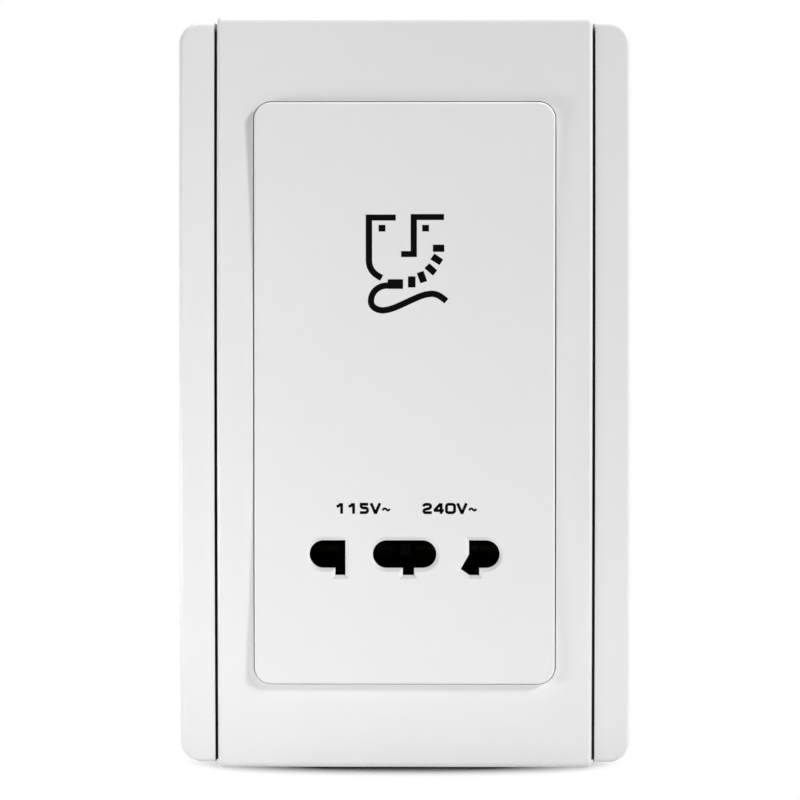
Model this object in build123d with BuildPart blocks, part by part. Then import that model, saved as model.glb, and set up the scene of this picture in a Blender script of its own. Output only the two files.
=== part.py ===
from build123d import *
from math import radians, sqrt, tan
import os

# A twin-height shaver supply outlet for a wall box. X runs to the right, Z up and Y into the wall.
# The wall plane is Y = 0, and the origin lies midway between the two fixing screws.
# All sizes are in millimetres. Depths in front of the wall are negative Y.

# Front plate, seen from the front
plate_width = 88.1
frame_height = 144.8
cover_width = 73.2
cover_height = 146.8
side_gap = 0.5
frame_corner = 4.2
frame_edge = 0.9
cover_end_edge = 1.3
cover_side_edge = 0.8

# Front plate, seen from the side
cover_front = 9.8
bow_drop = 2.0
wing_step = 0.7
plate_wall = 1.8
frame_thickness = 3.0

# Fascia
fascia_width = 58.6
fascia_height = 113.4
fascia_corner = 3.3
fascia_front = 10.1
fascia_panel = 2.2
fascia_skirt = 1.6
fascia_edge = 0.5
fascia_gap = 0.22
collar_wall = 1.4
panel_rib_width = 0.8
panel_rib_pitch = 24.0

# Pin openings
pin_row_z = -31.3
slot_height = 5.4
centre_slot_width = 12.4
outer_pin_x = 15.85
outer_slot_inner_x = 11.56
slant_slot_inner_x = 12.56
slant_foot_x = 10.94
slant_top_z = -31.34
slant_bottom_z = -34.24
blade_foot_z = -35.4
left_blade = (-13.53, -11.56)
centre_blade = (-0.35, 1.85)
right_blade = (12.63, 14.56)
slot_bevel = 0.7
pin_length = 16.0

# Fixing to the wall box
fixing_spacing = 120.6
fixing_hole_radius = 2.1
fixing_head_radius = 4.2
fixing_head_depth = 1.2

# Cover clips
clip_z = 50.0
clip_width = 8.0
clip_thickness = 1.4
clip_barb = 0.7
clip_clearance = 0.25
clip_ledge = 1.1

# Rear housing
housing_width = 60.0
housing_height = 100.0
housing_back = 37.0
housing_wall = 1.8
housing_corner = 4.0
housing_chamfer = 2.5
flange_width = 63.0
flange_height = 111.2
flange_thickness = 2.5
flange_recess = 1.0
flange_clearance = 0.2
frame_window_width = 54.0
frame_window_height = 96.0

# Assembly screws
screw_radius = 1.4
screw_head_radius = 2.7
screw_head_height = 1.8
thread_clearance = 0.05
through_clearance = 0.2
assembly_screw_x = 22.0
assembly_screw_z = 52.8
boss_wall = 1.15
recess_width = 0.7
recess_depth = 0.9
recess_reach = 1.4

# Contact springs
contact_gap = 4.5
contact_sheet = 0.5
contact_lip_rise = 1.4
contact_lip_length = 2.0
contact_mouth_y = -1.5
centre_contact_width = 13.0
outer_contact_width = 7.6
outer_contact_x = 15.0
contact_play = 0.5
contact_tab_width = 4.0
contact_tab_y = 3.0
contact_tab_rise = 2.3

# Contact block
block_wall = 1.6
block_cover_thickness = 2.0
block_ear = 5.9
block_ear_thickness = 2.5
block_screw_x = 24.2
block_screw_radius = 1.1
block_screw_head_radius = 2.1
block_screw_head_height = 1.5
seat_clearance = 0.1

# Plug-operated switch
switch_travel = 2.5
slider_width = 3.4
nose_chamfer = 0.7
slider_clearance = 0.2
collar_width = 6.4
collar_thickness = 1.0
stem_radius = 1.3
stem_length = 3.6
bridge_width = 15.0
bridge_height = 5.0
bridge_thickness = 0.8
bridge_corner = 1.2
contact_tip_radius = 1.2
contact_tip_height = 0.5
contact_tip_x = 5.8
fixed_strip_height = 3.0
fixed_strip_thickness = 0.6
fixed_strip_inner_x = 4.0
fixed_strip_outer_x = 15.5
switch_room_width = 19.0
switch_wall = 1.5
spring_room = 2.6
spring_radius = 2.25
spring_wire_radius = 0.25
spring_turns = 5
cap_thickness = 1.6
cap_rim = 1.0
spigot_radius = 1.5

# Transformer
core_width = 54.0
core_height = 45.0
core_leg = 18.0
core_stack = 16.8
core_centre_y = 17.9
core_centre_z = 17.5
core_hole_radius = 1.7
core_hole_inset = 4.5
bobbin_wall = 1.0
bobbin_flange = 1.2
bobbin_clearance = 0.15
winding_clearance = 0.1
winding_margin = 0.65
bobbin_overhang = 0.4
pin_radius = 0.4
pin_reach = 4.0
pin_x = 12.0
neutral_pin_x = -4.0
cutout_width = 6.0
cutout_height = 9.5
cutout_thickness = 3.5
cutout_x = -9.0
washer_thickness = 0.6
washer_radius = 3.4
tag_tail_width = 3.0
tag_tail_length = 6.5
post_radius = 3.5
post_thread_depth = 6.0
vent_length = 17.0
vent_width = 1.8
vent_pitch = 6.0

# Mains terminals
terminal_pitch = 10.0
terminal_size = 7.0
terminal_length = 10.0
terminal_y = 29.0
terminal_bottom_z = -45.0
tunnel_radius = 2.1
tunnel_entry_radius = 3.0
terminal_clearance = 0.15
terminal_top_wall = 1.5
clamp_screw_radius = 1.5
clamp_head_radius = 2.5
clamp_head_height = 1.8
clamp_access_radius = 2.8
terminal_block_side = 2.55
fence_height = 6.0

# Internal leads
lead_radius = 0.7
solder_gap = 0.05

# The hidden leads and the spring's wire have this many flat sides in place of a round
wire_sides = 8

# Worked out from the sizes above
cover_half = cover_height / 2
frame_half = frame_height / 2
bow_radius = (cover_half**2 + bow_drop**2) / (2 * bow_drop)
frame_front_y = -frame_thickness
wing_front = cover_front - wing_step
panel_back_y = -(fascia_front - fascia_panel)
slot_radius = slot_height / 2
slot_top_z = pin_row_z + slot_radius
slot_bottom_z = pin_row_z - slot_radius
chamber_half = contact_gap / 2 + contact_sheet + contact_lip_rise + clip_clearance
block_half_height = chamber_half + block_wall
block_half_width = outer_contact_x + outer_contact_width / 2 + contact_play + block_wall
block_top_z = pin_row_z + block_half_height
pin_tip_y = -fascia_front + pin_length
nose_tip_y = pin_tip_y - switch_travel
leaf_end_y = pin_tip_y - 2 * clip_clearance
block_back_y = leaf_end_y + contact_gap / 2 + contact_sheet + seat_clearance
guide_back_y = block_back_y + block_cover_thickness
collar_front_y = guide_back_y + thread_clearance
bridge_front_y = collar_front_y + collar_thickness
bridge_back_y = bridge_front_y + bridge_thickness
fixed_strip_y = bridge_back_y + 2 * contact_tip_height + switch_travel + seat_clearance
cap_front_y = fixed_strip_y + fixed_strip_thickness + spring_room
switch_half_width = switch_room_width / 2 + switch_wall
core_front_y = core_centre_y - core_stack / 2
core_back_y = core_centre_y + core_stack / 2
core_yoke = core_leg / 2
core_bottom_z = core_centre_z - core_height / 2
core_top_z = core_centre_z + core_height / 2
window_bottom_z = core_bottom_z + core_yoke
window_top_z = core_top_z - core_yoke
core_hole_x = core_width / 2 - core_hole_inset
core_hole_low_z = core_bottom_z + core_hole_inset
core_hole_high_z = core_top_z - core_hole_inset
bobbin_bore_x = core_leg / 2 + bobbin_clearance
bobbin_bore_y = core_stack / 2 + bobbin_clearance
winding_inner_x = bobbin_bore_x + bobbin_wall + winding_clearance
winding_inner_y = bobbin_bore_y + bobbin_wall + winding_clearance
winding_outer_x = core_width / 2 - core_yoke - winding_margin
winding_depth = winding_outer_x - bobbin_bore_x - bobbin_wall
winding_outer_y = bobbin_bore_y + bobbin_wall + winding_depth
flange_outer_x = winding_outer_x + bobbin_overhang - bobbin_clearance
flange_outer_y = winding_outer_y + bobbin_overhang
low_flange_z = window_bottom_z + bobbin_clearance
high_flange_z = window_top_z - bobbin_clearance - bobbin_flange
mid_flange_z = (low_flange_z + high_flange_z) / 2
flange_front_y = core_centre_y - flange_outer_y
winding_front_y = core_centre_y - winding_outer_y
screw_seat_y = core_front_y - washer_thickness
housing_inner_back_y = housing_back - housing_wall
housing_floor_z = -(housing_height / 2 - housing_wall)
flange_back_y = flange_thickness - flange_recess
terminal_top_z = terminal_bottom_z + terminal_length
terminal_half = terminal_size / 2
clamp_z = (terminal_bottom_z + terminal_top_z) / 2
terminal_back_y = terminal_y + terminal_half
terminal_block_half_x = terminal_pitch + terminal_half + terminal_clearance + terminal_block_side
terminal_block_front_y = terminal_y - terminal_half - terminal_clearance - terminal_block_side
terminal_block_top_z = terminal_top_z + terminal_top_wall
terminal_xs = (-terminal_pitch, 0.0, terminal_pitch)
assembly_points = [
    (side * assembly_screw_x, end * assembly_screw_z) for side in (-1, 1) for end in (-1, 1)
]
core_points = [
    (side * core_hole_x, z) for side in (-1, 1) for z in (core_hole_low_z, core_hole_high_z)
]
earth_point = (-core_hole_x, core_hole_low_z)
washer_points = [point for point in core_points if point != earth_point]
chambers = [
    (-outer_contact_x, outer_contact_width),
    (0.0, centre_contact_width),
    (outer_contact_x, outer_contact_width),
]


def seen_from_front(y):
    """The plane at depth y, X to the right and Z up. A positive extrusion comes towards the front."""
    return Plane.XZ.offset(-y)


def bow_y(front, z):
    """Depth of a bowed face whose middle stands this far in front of the wall."""
    return -front + bow_radius - sqrt(bow_radius**2 - z**2)


def bowed_side_view(front, half_height, back_y):
    """The side view of a body with a bowed front and a flat back, up to this far above and below."""
    end_y = bow_y(front, half_height)
    with BuildSketch(Plane.YZ) as side_view:
        with BuildLine():
            bow = ThreePointArc((end_y, -half_height), (-front, 0), (end_y, half_height))
            Polyline(bow @ 1, (back_y, half_height), (back_y, -half_height), bow @ 0)
        make_face()
    return side_view.sketch


finished = {}

# A collar stands behind the cover's window and guides the fascia's skirt. Its front follows the bow.
window_width = fascia_width + 2 * fascia_gap
window_height = fascia_height + 2 * fascia_gap
with BuildPart() as window_collar:
    with BuildSketch(seen_from_front(frame_front_y - seat_clearance)):
        RectangleRounded(
            window_width + 2 * collar_wall,
            window_height + 2 * collar_wall,
            fascia_corner + fascia_gap + collar_wall,
        )
    extrude(amount=cover_front)
    extrude(
        bowed_side_view(cover_front - plate_wall / 2, cover_half, 0),
        amount=cover_width / 2,
        both=True,
        mode=Mode.INTERSECT,
    )

# Cover: a thin bowed moulding with a window for the fascia, clipped over the frame.
with BuildPart() as cover_plate:
    extrude(bowed_side_view(cover_front, cover_half, frame_front_y), amount=cover_width / 2, both=True)
    front_face = cover_plate.faces().sort_by(Axis.Y)[0]
    fillet(front_face.edges().filter_by(Axis.X), cover_end_edge)
    side_faces = cover_plate.faces().sort_by(Axis.X)
    side_edges = side_faces[0].edges() + side_faces[-1].edges()
    back_edges = cover_plate.faces().sort_by(Axis.Y)[-1].edges()
    fillet([edge for edge in side_edges if edge not in back_edges], cover_side_edge)
    extrude(
        bowed_side_view(cover_front - plate_wall, cover_half - plate_wall, frame_front_y),
        amount=cover_width / 2 - plate_wall,
        both=True,
        mode=Mode.SUBTRACT,
    )
    add(window_collar.part)
    with BuildSketch(seen_from_front(0)):
        RectangleRounded(window_width, window_height, fascia_corner + fascia_gap)
    extrude(amount=2 * cover_front, mode=Mode.SUBTRACT)
    # Ribs tie the collar to the long side walls.
    rib_inner_x = window_width / 2 + collar_wall / 2
    rib_outer_x = cover_width / 2 - plate_wall / 2
    rib_centre_x = (rib_inner_x + rib_outer_x) / 2
    rib_back_y = frame_front_y - plate_wall
    rib_pitch = clip_z / 3
    for step in (-2, -1, 1, 2):
        rib_z = step * rib_pitch
        with BuildSketch(seen_from_front(rib_back_y)):
            with Locations((-rib_centre_x, rib_z), (rib_centre_x, rib_z)):
                Rectangle(rib_outer_x - rib_inner_x, collar_wall)
        extrude(amount=rib_back_y - bow_y(cover_front, rib_z) - plate_wall / 2)
    # Barbed tongues reach through the frame on both long sides.
    tongue_x = cover_width / 2 - plate_wall
    barb_front_y = frame_front_y + clip_ledge + clip_clearance
    tongue_tip_y = -2 * clip_clearance
    with BuildSketch(Plane.XY.offset(-clip_width / 2)):
        with BuildLine():
            Polyline(
                (tongue_x + plate_wall / 2, -cover_front + plate_wall),
                (tongue_x + plate_wall / 2, frame_front_y),
                (tongue_x, frame_front_y),
                (tongue_x, tongue_tip_y),
                (tongue_x - clip_thickness / 2, tongue_tip_y),
                (tongue_x - clip_thickness - clip_barb, barb_front_y + clip_barb / 2),
                (tongue_x - clip_thickness - clip_barb, barb_front_y),
                (tongue_x - clip_thickness, barb_front_y),
                (tongue_x - clip_thickness, -cover_front + plate_wall),
                close=True,
            )
        make_face()
        mirror(about=Plane.YZ)
    tongues = extrude(amount=clip_width, mode=Mode.PRIVATE)
    with Locations((0, 0, -clip_z), (0, 0, 0), (0, 0, clip_z)):
        add(tongues)
finished["cover_plate"] = cover_plate.part

# Mounting frame: a flat back plate and two bowed, hollow side wings, moulded in one.
with BuildPart() as mounting_frame:
    extrude(bowed_side_view(wing_front, frame_half, 0), amount=plate_width / 2, both=True)
    fillet(mounting_frame.edges().filter_by(Axis.Y), frame_corner)
    fillet(mounting_frame.faces().sort_by(Axis.Y)[0].edges(), frame_edge)
    # The channel between the wings takes the cover.
    channel_half = cover_width / 2 + side_gap
    with BuildSketch(seen_from_front(frame_front_y)):
        Rectangle(2 * channel_half, cover_height)
    extrude(amount=cover_front, mode=Mode.SUBTRACT)
    # The wings are cored out from behind in bays.
    core_inner_x = channel_half + plate_wall
    core_outer_x = plate_width / 2 - plate_wall
    bay_count = 5
    bay_pitch = 2 * (frame_half - frame_corner) / bay_count
    bay_length = bay_pitch - plate_wall
    for bay in range(bay_count):
        bay_z = (bay - (bay_count - 1) / 2) * bay_pitch
        bay_floor_y = bow_y(wing_front, abs(bay_z) + bay_length / 2) + plate_wall
        with BuildSketch(seen_from_front(0)):
            with Locations(*[(side * (core_inner_x + core_outer_x) / 2, bay_z) for side in (-1, 1)]):
                Rectangle(core_outer_x - core_inner_x, bay_length)
        extrude(amount=-bay_floor_y, mode=Mode.SUBTRACT)
    # The module passes through the window, and its flange sits in a recess behind.
    with BuildSketch(seen_from_front(0)):
        RectangleRounded(frame_window_width, frame_window_height, housing_corner)
    extrude(amount=frame_thickness, mode=Mode.SUBTRACT)
    with BuildSketch(seen_from_front(0)):
        RectangleRounded(
            flange_width + 2 * flange_clearance,
            flange_height + 2 * flange_clearance,
            housing_corner + flange_clearance,
        )
    extrude(amount=flange_recess, mode=Mode.SUBTRACT)
    with BuildSketch(seen_from_front(0)):
        with Locations(*assembly_points):
            Circle(screw_radius + through_clearance)
    extrude(amount=frame_thickness, mode=Mode.SUBTRACT)
    fixing_planes = [
        Plane(origin=(0, frame_front_y, end * fixing_spacing / 2), z_dir=(0, -1, 0)) for end in (-1, 1)
    ]
    with Locations(*fixing_planes):
        CounterBoreHole(fixing_hole_radius, fixing_head_radius, fixing_head_depth, frame_thickness)
    # Stepped slots catch the cover's barbs.
    slot_outer_x = tongue_x + clip_clearance
    slot_front_x = tongue_x - clip_thickness - clip_clearance
    slot_back_x = slot_front_x - clip_barb
    clip_slots = ((slot_front_x, frame_thickness), (slot_back_x, frame_thickness - clip_ledge))
    for slot_inner_x, slot_depth in clip_slots:
        slot_centre_x = (slot_inner_x + slot_outer_x) / 2
        slot_points = [(side * slot_centre_x, z) for side in (-1, 1) for z in (-clip_z, 0, clip_z)]
        with BuildSketch(seen_from_front(0)):
            with Locations(*slot_points):
                Rectangle(slot_outer_x - slot_inner_x, clip_width + 2 * clip_clearance)
        extrude(amount=slot_depth, mode=Mode.SUBTRACT)
finished["mounting_frame"] = mounting_frame.part

# Fascia: the flat insert with three bevelled pin openings, a skirt and screw bosses behind.
with BuildPart() as socket_fascia:
    with BuildSketch(seen_from_front(frame_front_y)):
        RectangleRounded(fascia_width, fascia_height, fascia_corner)
    extrude(amount=fascia_front - frame_thickness)
    fillet(socket_fascia.faces().sort_by(Axis.Y)[0].edges(), fascia_edge)
    with BuildSketch(seen_from_front(frame_front_y)):
        RectangleRounded(
            fascia_width - 2 * fascia_skirt,
            fascia_height - 2 * fascia_skirt,
            fascia_corner - fascia_skirt,
        )
    extrude(amount=frame_front_y - panel_back_y, mode=Mode.SUBTRACT)
    # Corner bosses take the assembly screws, and two short ones hold the contact block.
    with BuildSketch(seen_from_front(frame_front_y)):
        with Locations(*assembly_points):
            Circle(screw_radius + boss_wall)
    extrude(amount=frame_front_y - panel_back_y)
    ear_front_y = frame_front_y - block_ear_thickness
    with BuildSketch(seen_from_front(ear_front_y)):
        with Locations((-block_screw_x, pin_row_z), (block_screw_x, pin_row_z)):
            Circle(block_screw_radius + boss_wall)
    extrude(amount=ear_front_y - panel_back_y)
    screw_end_y = panel_back_y - fascia_panel / 4
    with BuildSketch(seen_from_front(frame_front_y)):
        with Locations(*assembly_points):
            Circle(screw_radius + thread_clearance)
        with Locations((-block_screw_x, pin_row_z), (block_screw_x, pin_row_z)):
            Circle(block_screw_radius + thread_clearance)
    extrude(amount=frame_front_y - screw_end_y + seat_clearance, mode=Mode.SUBTRACT)
    # Shallow ribs stiffen the panel above the contact block.
    with BuildSketch(seen_from_front(panel_back_y + fascia_panel / 2)):
        with Locations((0, block_top_z + 1.5 * panel_rib_pitch)):
            with GridLocations(0, panel_rib_pitch, 1, 3):
                Rectangle(fascia_width - fascia_skirt, panel_rib_width)
    extrude(amount=fascia_panel)
    # The middle opening takes round pins at either voltage, with a foot for a flat blade.
    with BuildSketch(seen_from_front(panel_back_y)):
        with Locations((0, pin_row_z)):
            SlotOverall(centre_slot_width, slot_height)
        foot_height = pin_row_z - blade_foot_z
        with Locations((sum(centre_blade) / 2, pin_row_z - foot_height / 2)):
            Rectangle(centre_blade[1] - centre_blade[0], foot_height)
        # The left opening is round outside and flat inside, with its foot along the flat.
        with BuildLine():
            left_round = ThreePointArc(
                (-outer_pin_x, slot_top_z),
                (-outer_pin_x - slot_radius, pin_row_z),
                (-outer_pin_x, slot_bottom_z),
            )
            Polyline(
                left_round @ 1,
                (left_blade[0], slot_bottom_z),
                (left_blade[0], blade_foot_z),
                (left_blade[1], blade_foot_z),
                (-outer_slot_inner_x, slot_top_z),
                left_round @ 0,
            )
        make_face()
        # The right opening also takes a slanted blade, so its inner side runs out at an angle.
        with BuildLine():
            right_round = ThreePointArc(
                (outer_pin_x, slot_top_z),
                (outer_pin_x + slot_radius, pin_row_z),
                (outer_pin_x, slot_bottom_z),
            )
            Polyline(
                right_round @ 1,
                (right_blade[1], slot_bottom_z),
                (right_blade[1], blade_foot_z),
                (right_blade[0], blade_foot_z),
                (slant_foot_x, slant_bottom_z),
                (slant_slot_inner_x, slant_top_z),
                (slant_slot_inner_x, slot_top_z),
                right_round @ 0,
            )
        make_face()
    extrude(amount=fascia_panel, mode=Mode.SUBTRACT)
    slot_rims = ShapeList()
    for rim in socket_fascia.faces().sort_by(Axis.Y)[0].inner_wires():
        slot_rims += rim.edges()
    chamfer(slot_rims, slot_bevel)
finished["socket_fascia"] = socket_fascia.part

# Rear housing: a deep moulded box with a screw flange, wire entries and vents.
with BuildPart() as rear_housing:
    with BuildSketch(seen_from_front(housing_back)):
        RectangleRounded(housing_width, housing_height, housing_corner)
    extrude(amount=housing_back + flange_recess)
    chamfer(rear_housing.faces().sort_by(Axis.Y)[-1].edges(), housing_chamfer)
    with BuildSketch(seen_from_front(flange_back_y)):
        RectangleRounded(flange_width, flange_height, housing_corner)
    extrude(amount=flange_thickness)
    with BuildSketch(seen_from_front(housing_inner_back_y)):
        RectangleRounded(
            housing_width - 2 * housing_wall,
            housing_height - 2 * housing_wall,
            housing_corner - housing_wall,
        )
    extrude(amount=housing_inner_back_y + flange_recess, mode=Mode.SUBTRACT)
    # The same slope inside keeps the wall's thickness round the back.
    flat_faces = rear_housing.faces().filter_by(Axis.Y)
    inner_back = flat_faces.filter_by_position(
        Axis.Y, housing_inner_back_y - seat_clearance, housing_inner_back_y + seat_clearance
    )
    chamfer(inner_back.edges(), housing_chamfer - housing_wall / 2)
    with BuildSketch(seen_from_front(flange_back_y)):
        with Locations(*assembly_points):
            Circle(screw_radius + through_clearance)
    extrude(amount=flange_thickness, mode=Mode.SUBTRACT)
    # Four posts carry the transformer.
    with BuildSketch(seen_from_front(housing_inner_back_y)):
        with Locations(*core_points):
            Circle(post_radius)
    extrude(amount=housing_inner_back_y - core_back_y)
    with BuildSketch(seen_from_front(core_back_y + post_thread_depth)):
        with Locations(*core_points):
            Circle(screw_radius + thread_clearance)
    extrude(amount=post_thread_depth, mode=Mode.SUBTRACT)
    # Ribs fence in the terminal block from both sides and from the front.
    with BuildSketch(Plane.XY.offset(housing_floor_z)):
        for side in (-1, 1):
            with Locations(
                (
                    side * (terminal_block_half_x + seat_clearance + collar_wall / 2),
                    (terminal_block_front_y + housing_inner_back_y) / 2,
                )
            ):
                Rectangle(collar_wall, housing_inner_back_y - terminal_block_front_y)
        with Locations((0, terminal_block_front_y - seat_clearance - collar_wall / 2)):
            Rectangle(2 * (terminal_block_half_x + seat_clearance + collar_wall), collar_wall)
    extrude(amount=fence_height)
    # Wires come in through the bottom, and the clamp screws are reached from behind.
    with BuildSketch(Plane.XY.offset(housing_floor_z)):
        with Locations(*[(x, terminal_y) for x in terminal_xs]):
            Circle(tunnel_entry_radius)
    extrude(amount=-housing_wall, mode=Mode.SUBTRACT)
    with BuildSketch(seen_from_front(housing_back)):
        with Locations(*[(x, clamp_z) for x in terminal_xs]):
            Circle(clamp_access_radius)
        # Vents let the transformer's heat out.
        with Locations((0, core_centre_z)):
            with GridLocations(vent_pitch, 0, 5, 1):
                Rectangle(vent_width, vent_length)
    extrude(amount=housing_wall, mode=Mode.SUBTRACT)
    with BuildSketch(Plane.YZ.offset(-housing_width / 2)):
        with Locations((core_centre_y, core_centre_z)):
            with GridLocations(0, vent_pitch, 1, 6):
                Rectangle(vent_length, vent_width)
    extrude(amount=housing_width, mode=Mode.SUBTRACT)
finished["rear_housing"] = rear_housing.part

# Contact block: three chambers side by side, open at the back, with a screw ear at each end.
with BuildPart() as contact_block:
    with BuildSketch(seen_from_front(block_back_y)):
        with Locations((0, pin_row_z)):
            Rectangle(2 * block_half_width, 2 * block_half_height)
    extrude(amount=block_back_y - panel_back_y)
    fillet(contact_block.edges().filter_by(Axis.Y), collar_wall)
    with BuildSketch(seen_from_front(frame_front_y)):
        with Locations((0, pin_row_z)):
            SlotOverall(2 * (block_half_width + block_ear), block_half_height)
    extrude(amount=block_ear_thickness)
    with BuildSketch(seen_from_front(block_back_y)):
        for chamber_x, width in chambers:
            with Locations((chamber_x, pin_row_z)):
                Rectangle(width + 2 * contact_play, 2 * chamber_half)
    extrude(amount=block_back_y - panel_back_y, mode=Mode.SUBTRACT)
    # A slot in each chamber's roof lets the spring's solder tab out.
    with BuildSketch(Plane.XY.offset(pin_row_z + chamber_half)):
        for chamber_x, width in chambers:
            tab_x = chamber_x + width / 2 - contact_sheet / 2
            tab_front_y = contact_tab_y - contact_tab_width / 2 - clip_clearance
            with Locations((tab_x, (tab_front_y + block_back_y) / 2)):
                Rectangle(contact_sheet + 2 * clip_clearance, block_back_y - tab_front_y)
    extrude(amount=block_wall, mode=Mode.SUBTRACT)
    with BuildSketch(seen_from_front(frame_front_y)):
        with Locations((-block_screw_x, pin_row_z), (block_screw_x, pin_row_z)):
            Circle(block_screw_radius + through_clearance)
    extrude(amount=block_ear_thickness, mode=Mode.SUBTRACT)
finished["contact_block"] = contact_block.part

# Block cover: closes the chambers, guides the slider and forms the switch room behind.
with BuildPart() as contact_block_cover:
    with BuildSketch(seen_from_front(guide_back_y)):
        with Locations((0, pin_row_z)):
            RectangleRounded(2 * block_half_width, 2 * block_half_height, collar_wall)
    extrude(amount=block_cover_thickness)
    with BuildSketch(seen_from_front(cap_front_y)):
        with Locations((0, pin_row_z)):
            RectangleRounded(2 * switch_half_width, 2 * block_half_height, collar_wall)
            Rectangle(switch_room_width, 2 * (block_half_height - switch_wall), mode=Mode.SUBTRACT)
    extrude(amount=cap_front_y - guide_back_y)
    with BuildSketch(seen_from_front(guide_back_y)):
        with Locations((0, pin_row_z)):
            Rectangle(slider_width + 2 * slider_clearance, slider_width + 2 * slider_clearance)
    extrude(amount=block_cover_thickness, mode=Mode.SUBTRACT)
    # Slots in both side walls hold the fixed contact strips.
    strip_slot_back_y = fixed_strip_y + fixed_strip_thickness + terminal_clearance
    with BuildSketch(seen_from_front(strip_slot_back_y)):
        with Locations((0, pin_row_z)):
            Rectangle(2 * switch_half_width, fixed_strip_height + 2 * terminal_clearance)
    extrude(amount=fixed_strip_thickness + 2 * terminal_clearance, mode=Mode.SUBTRACT)
finished["contact_block_cover"] = contact_block_cover.part

# Switch cap: closes the switch room, with a spigot that centres the spring.
with BuildPart() as switch_cap:
    with BuildSketch(seen_from_front(cap_front_y + cap_thickness)):
        with Locations((0, pin_row_z)):
            RectangleRounded(2 * switch_half_width, 2 * block_half_height, collar_wall)
    extrude(amount=cap_thickness)
    with BuildSketch(seen_from_front(cap_front_y)):
        with Locations((0, pin_row_z)):
            Rectangle(
                switch_room_width - 2 * seat_clearance,
                2 * (block_half_height - switch_wall - seat_clearance),
            )
            Rectangle(
                switch_room_width - 2 * switch_wall,
                2 * (block_half_height - 2 * switch_wall),
                mode=Mode.SUBTRACT,
            )
            Circle(spigot_radius)
    extrude(amount=cap_rim)
finished["switch_cap"] = switch_cap.part

# Contact springs: one bent strip for each chamber, with flared lips and a solder tab.
contact_names = ("contact_115", "contact_common", "contact_240")
leaf_middle = (contact_gap + contact_sheet) / 2
lip_root_y = contact_mouth_y + contact_lip_length
tab_top_z = block_top_z + contact_tab_rise
for name, (chamber_x, width) in zip(contact_names, chambers):
    with BuildPart() as contact:
        with BuildSketch(Plane.YZ.offset(chamber_x - width / 2)):
            with BuildLine():
                upper_leaf = Polyline(
                    (contact_mouth_y, pin_row_z + leaf_middle + contact_lip_rise),
                    (lip_root_y, pin_row_z + leaf_middle),
                    (leaf_end_y, pin_row_z + leaf_middle),
                )
                bend = ThreePointArc(
                    upper_leaf @ 1,
                    (leaf_end_y + leaf_middle, pin_row_z),
                    (leaf_end_y, pin_row_z - leaf_middle),
                )
                Polyline(
                    bend @ 1,
                    (lip_root_y, pin_row_z - leaf_middle),
                    (contact_mouth_y, pin_row_z - leaf_middle - contact_lip_rise),
                )
                offset(amount=contact_sheet / 2)
            make_face()
        extrude(amount=width)
        # The solder tab is folded up from the leaf's edge.
        with BuildSketch(Plane.XY.offset(pin_row_z + leaf_middle - contact_sheet / 2)):
            with Locations((chamber_x + (width - contact_sheet) / 2, contact_tab_y)):
                Rectangle(contact_sheet, contact_tab_width)
        extrude(amount=tab_top_z - pin_row_z - leaf_middle + contact_sheet / 2)
        if name == "contact_common":
            # The slider's nose reaches in through a window in the bend.
            with BuildSketch(seen_from_front(block_back_y)):
                with Locations((0, pin_row_z)):
                    Rectangle(slider_width + 4 * slider_clearance, slider_width + 2 * slider_clearance)
            extrude(amount=block_back_y - leaf_end_y, mode=Mode.SUBTRACT)
    finished[name] = contact.part

# Switch slider: a square nose that the plug pushes back, a collar and a round stem.
with BuildPart() as switch_slider:
    with BuildSketch(seen_from_front(collar_front_y)):
        with Locations((0, pin_row_z)):
            Rectangle(slider_width, slider_width)
    extrude(amount=collar_front_y - nose_tip_y)
    chamfer(switch_slider.faces().sort_by(Axis.Y)[0].edges(), nose_chamfer)
    with BuildSketch(seen_from_front(bridge_front_y)):
        with Locations((0, pin_row_z)):
            Rectangle(collar_width, collar_width)
    extrude(amount=collar_thickness)
    with BuildSketch(seen_from_front(bridge_front_y + stem_length)):
        with Locations((0, pin_row_z)):
            Circle(stem_radius)
    extrude(amount=stem_length)
finished["switch_slider"] = switch_slider.part

# Bridge contact: rides on the stem and carries a silver tip at each end.
with BuildPart() as bridge_contact:
    with BuildSketch(seen_from_front(bridge_back_y)):
        with Locations((0, pin_row_z)):
            RectangleRounded(bridge_width, bridge_height, bridge_corner)
            Circle(stem_radius + thread_clearance, mode=Mode.SUBTRACT)
    extrude(amount=bridge_thickness)
    with BuildSketch(seen_from_front(bridge_back_y + contact_tip_height)):
        with Locations((-contact_tip_x, pin_row_z), (contact_tip_x, pin_row_z)):
            Circle(contact_tip_radius)
    extrude(amount=contact_tip_height)
finished["bridge_contact"] = bridge_contact.part

# Fixed contacts: one strip in each side wall of the switch room, each with a silver tip.
for name, side in (("fixed_contact_in", -1), ("fixed_contact_out", 1)):
    with BuildPart() as fixed_contact:
        with BuildSketch(seen_from_front(fixed_strip_y + fixed_strip_thickness)):
            with Locations((side * (fixed_strip_inner_x + fixed_strip_outer_x) / 2, pin_row_z)):
                Rectangle(fixed_strip_outer_x - fixed_strip_inner_x, fixed_strip_height)
        extrude(amount=fixed_strip_thickness)
        with BuildSketch(seen_from_front(fixed_strip_y)):
            with Locations((side * contact_tip_x, pin_row_z)):
                Circle(contact_tip_radius)
        extrude(amount=contact_tip_height)
    finished[name] = fixed_contact.part

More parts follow.
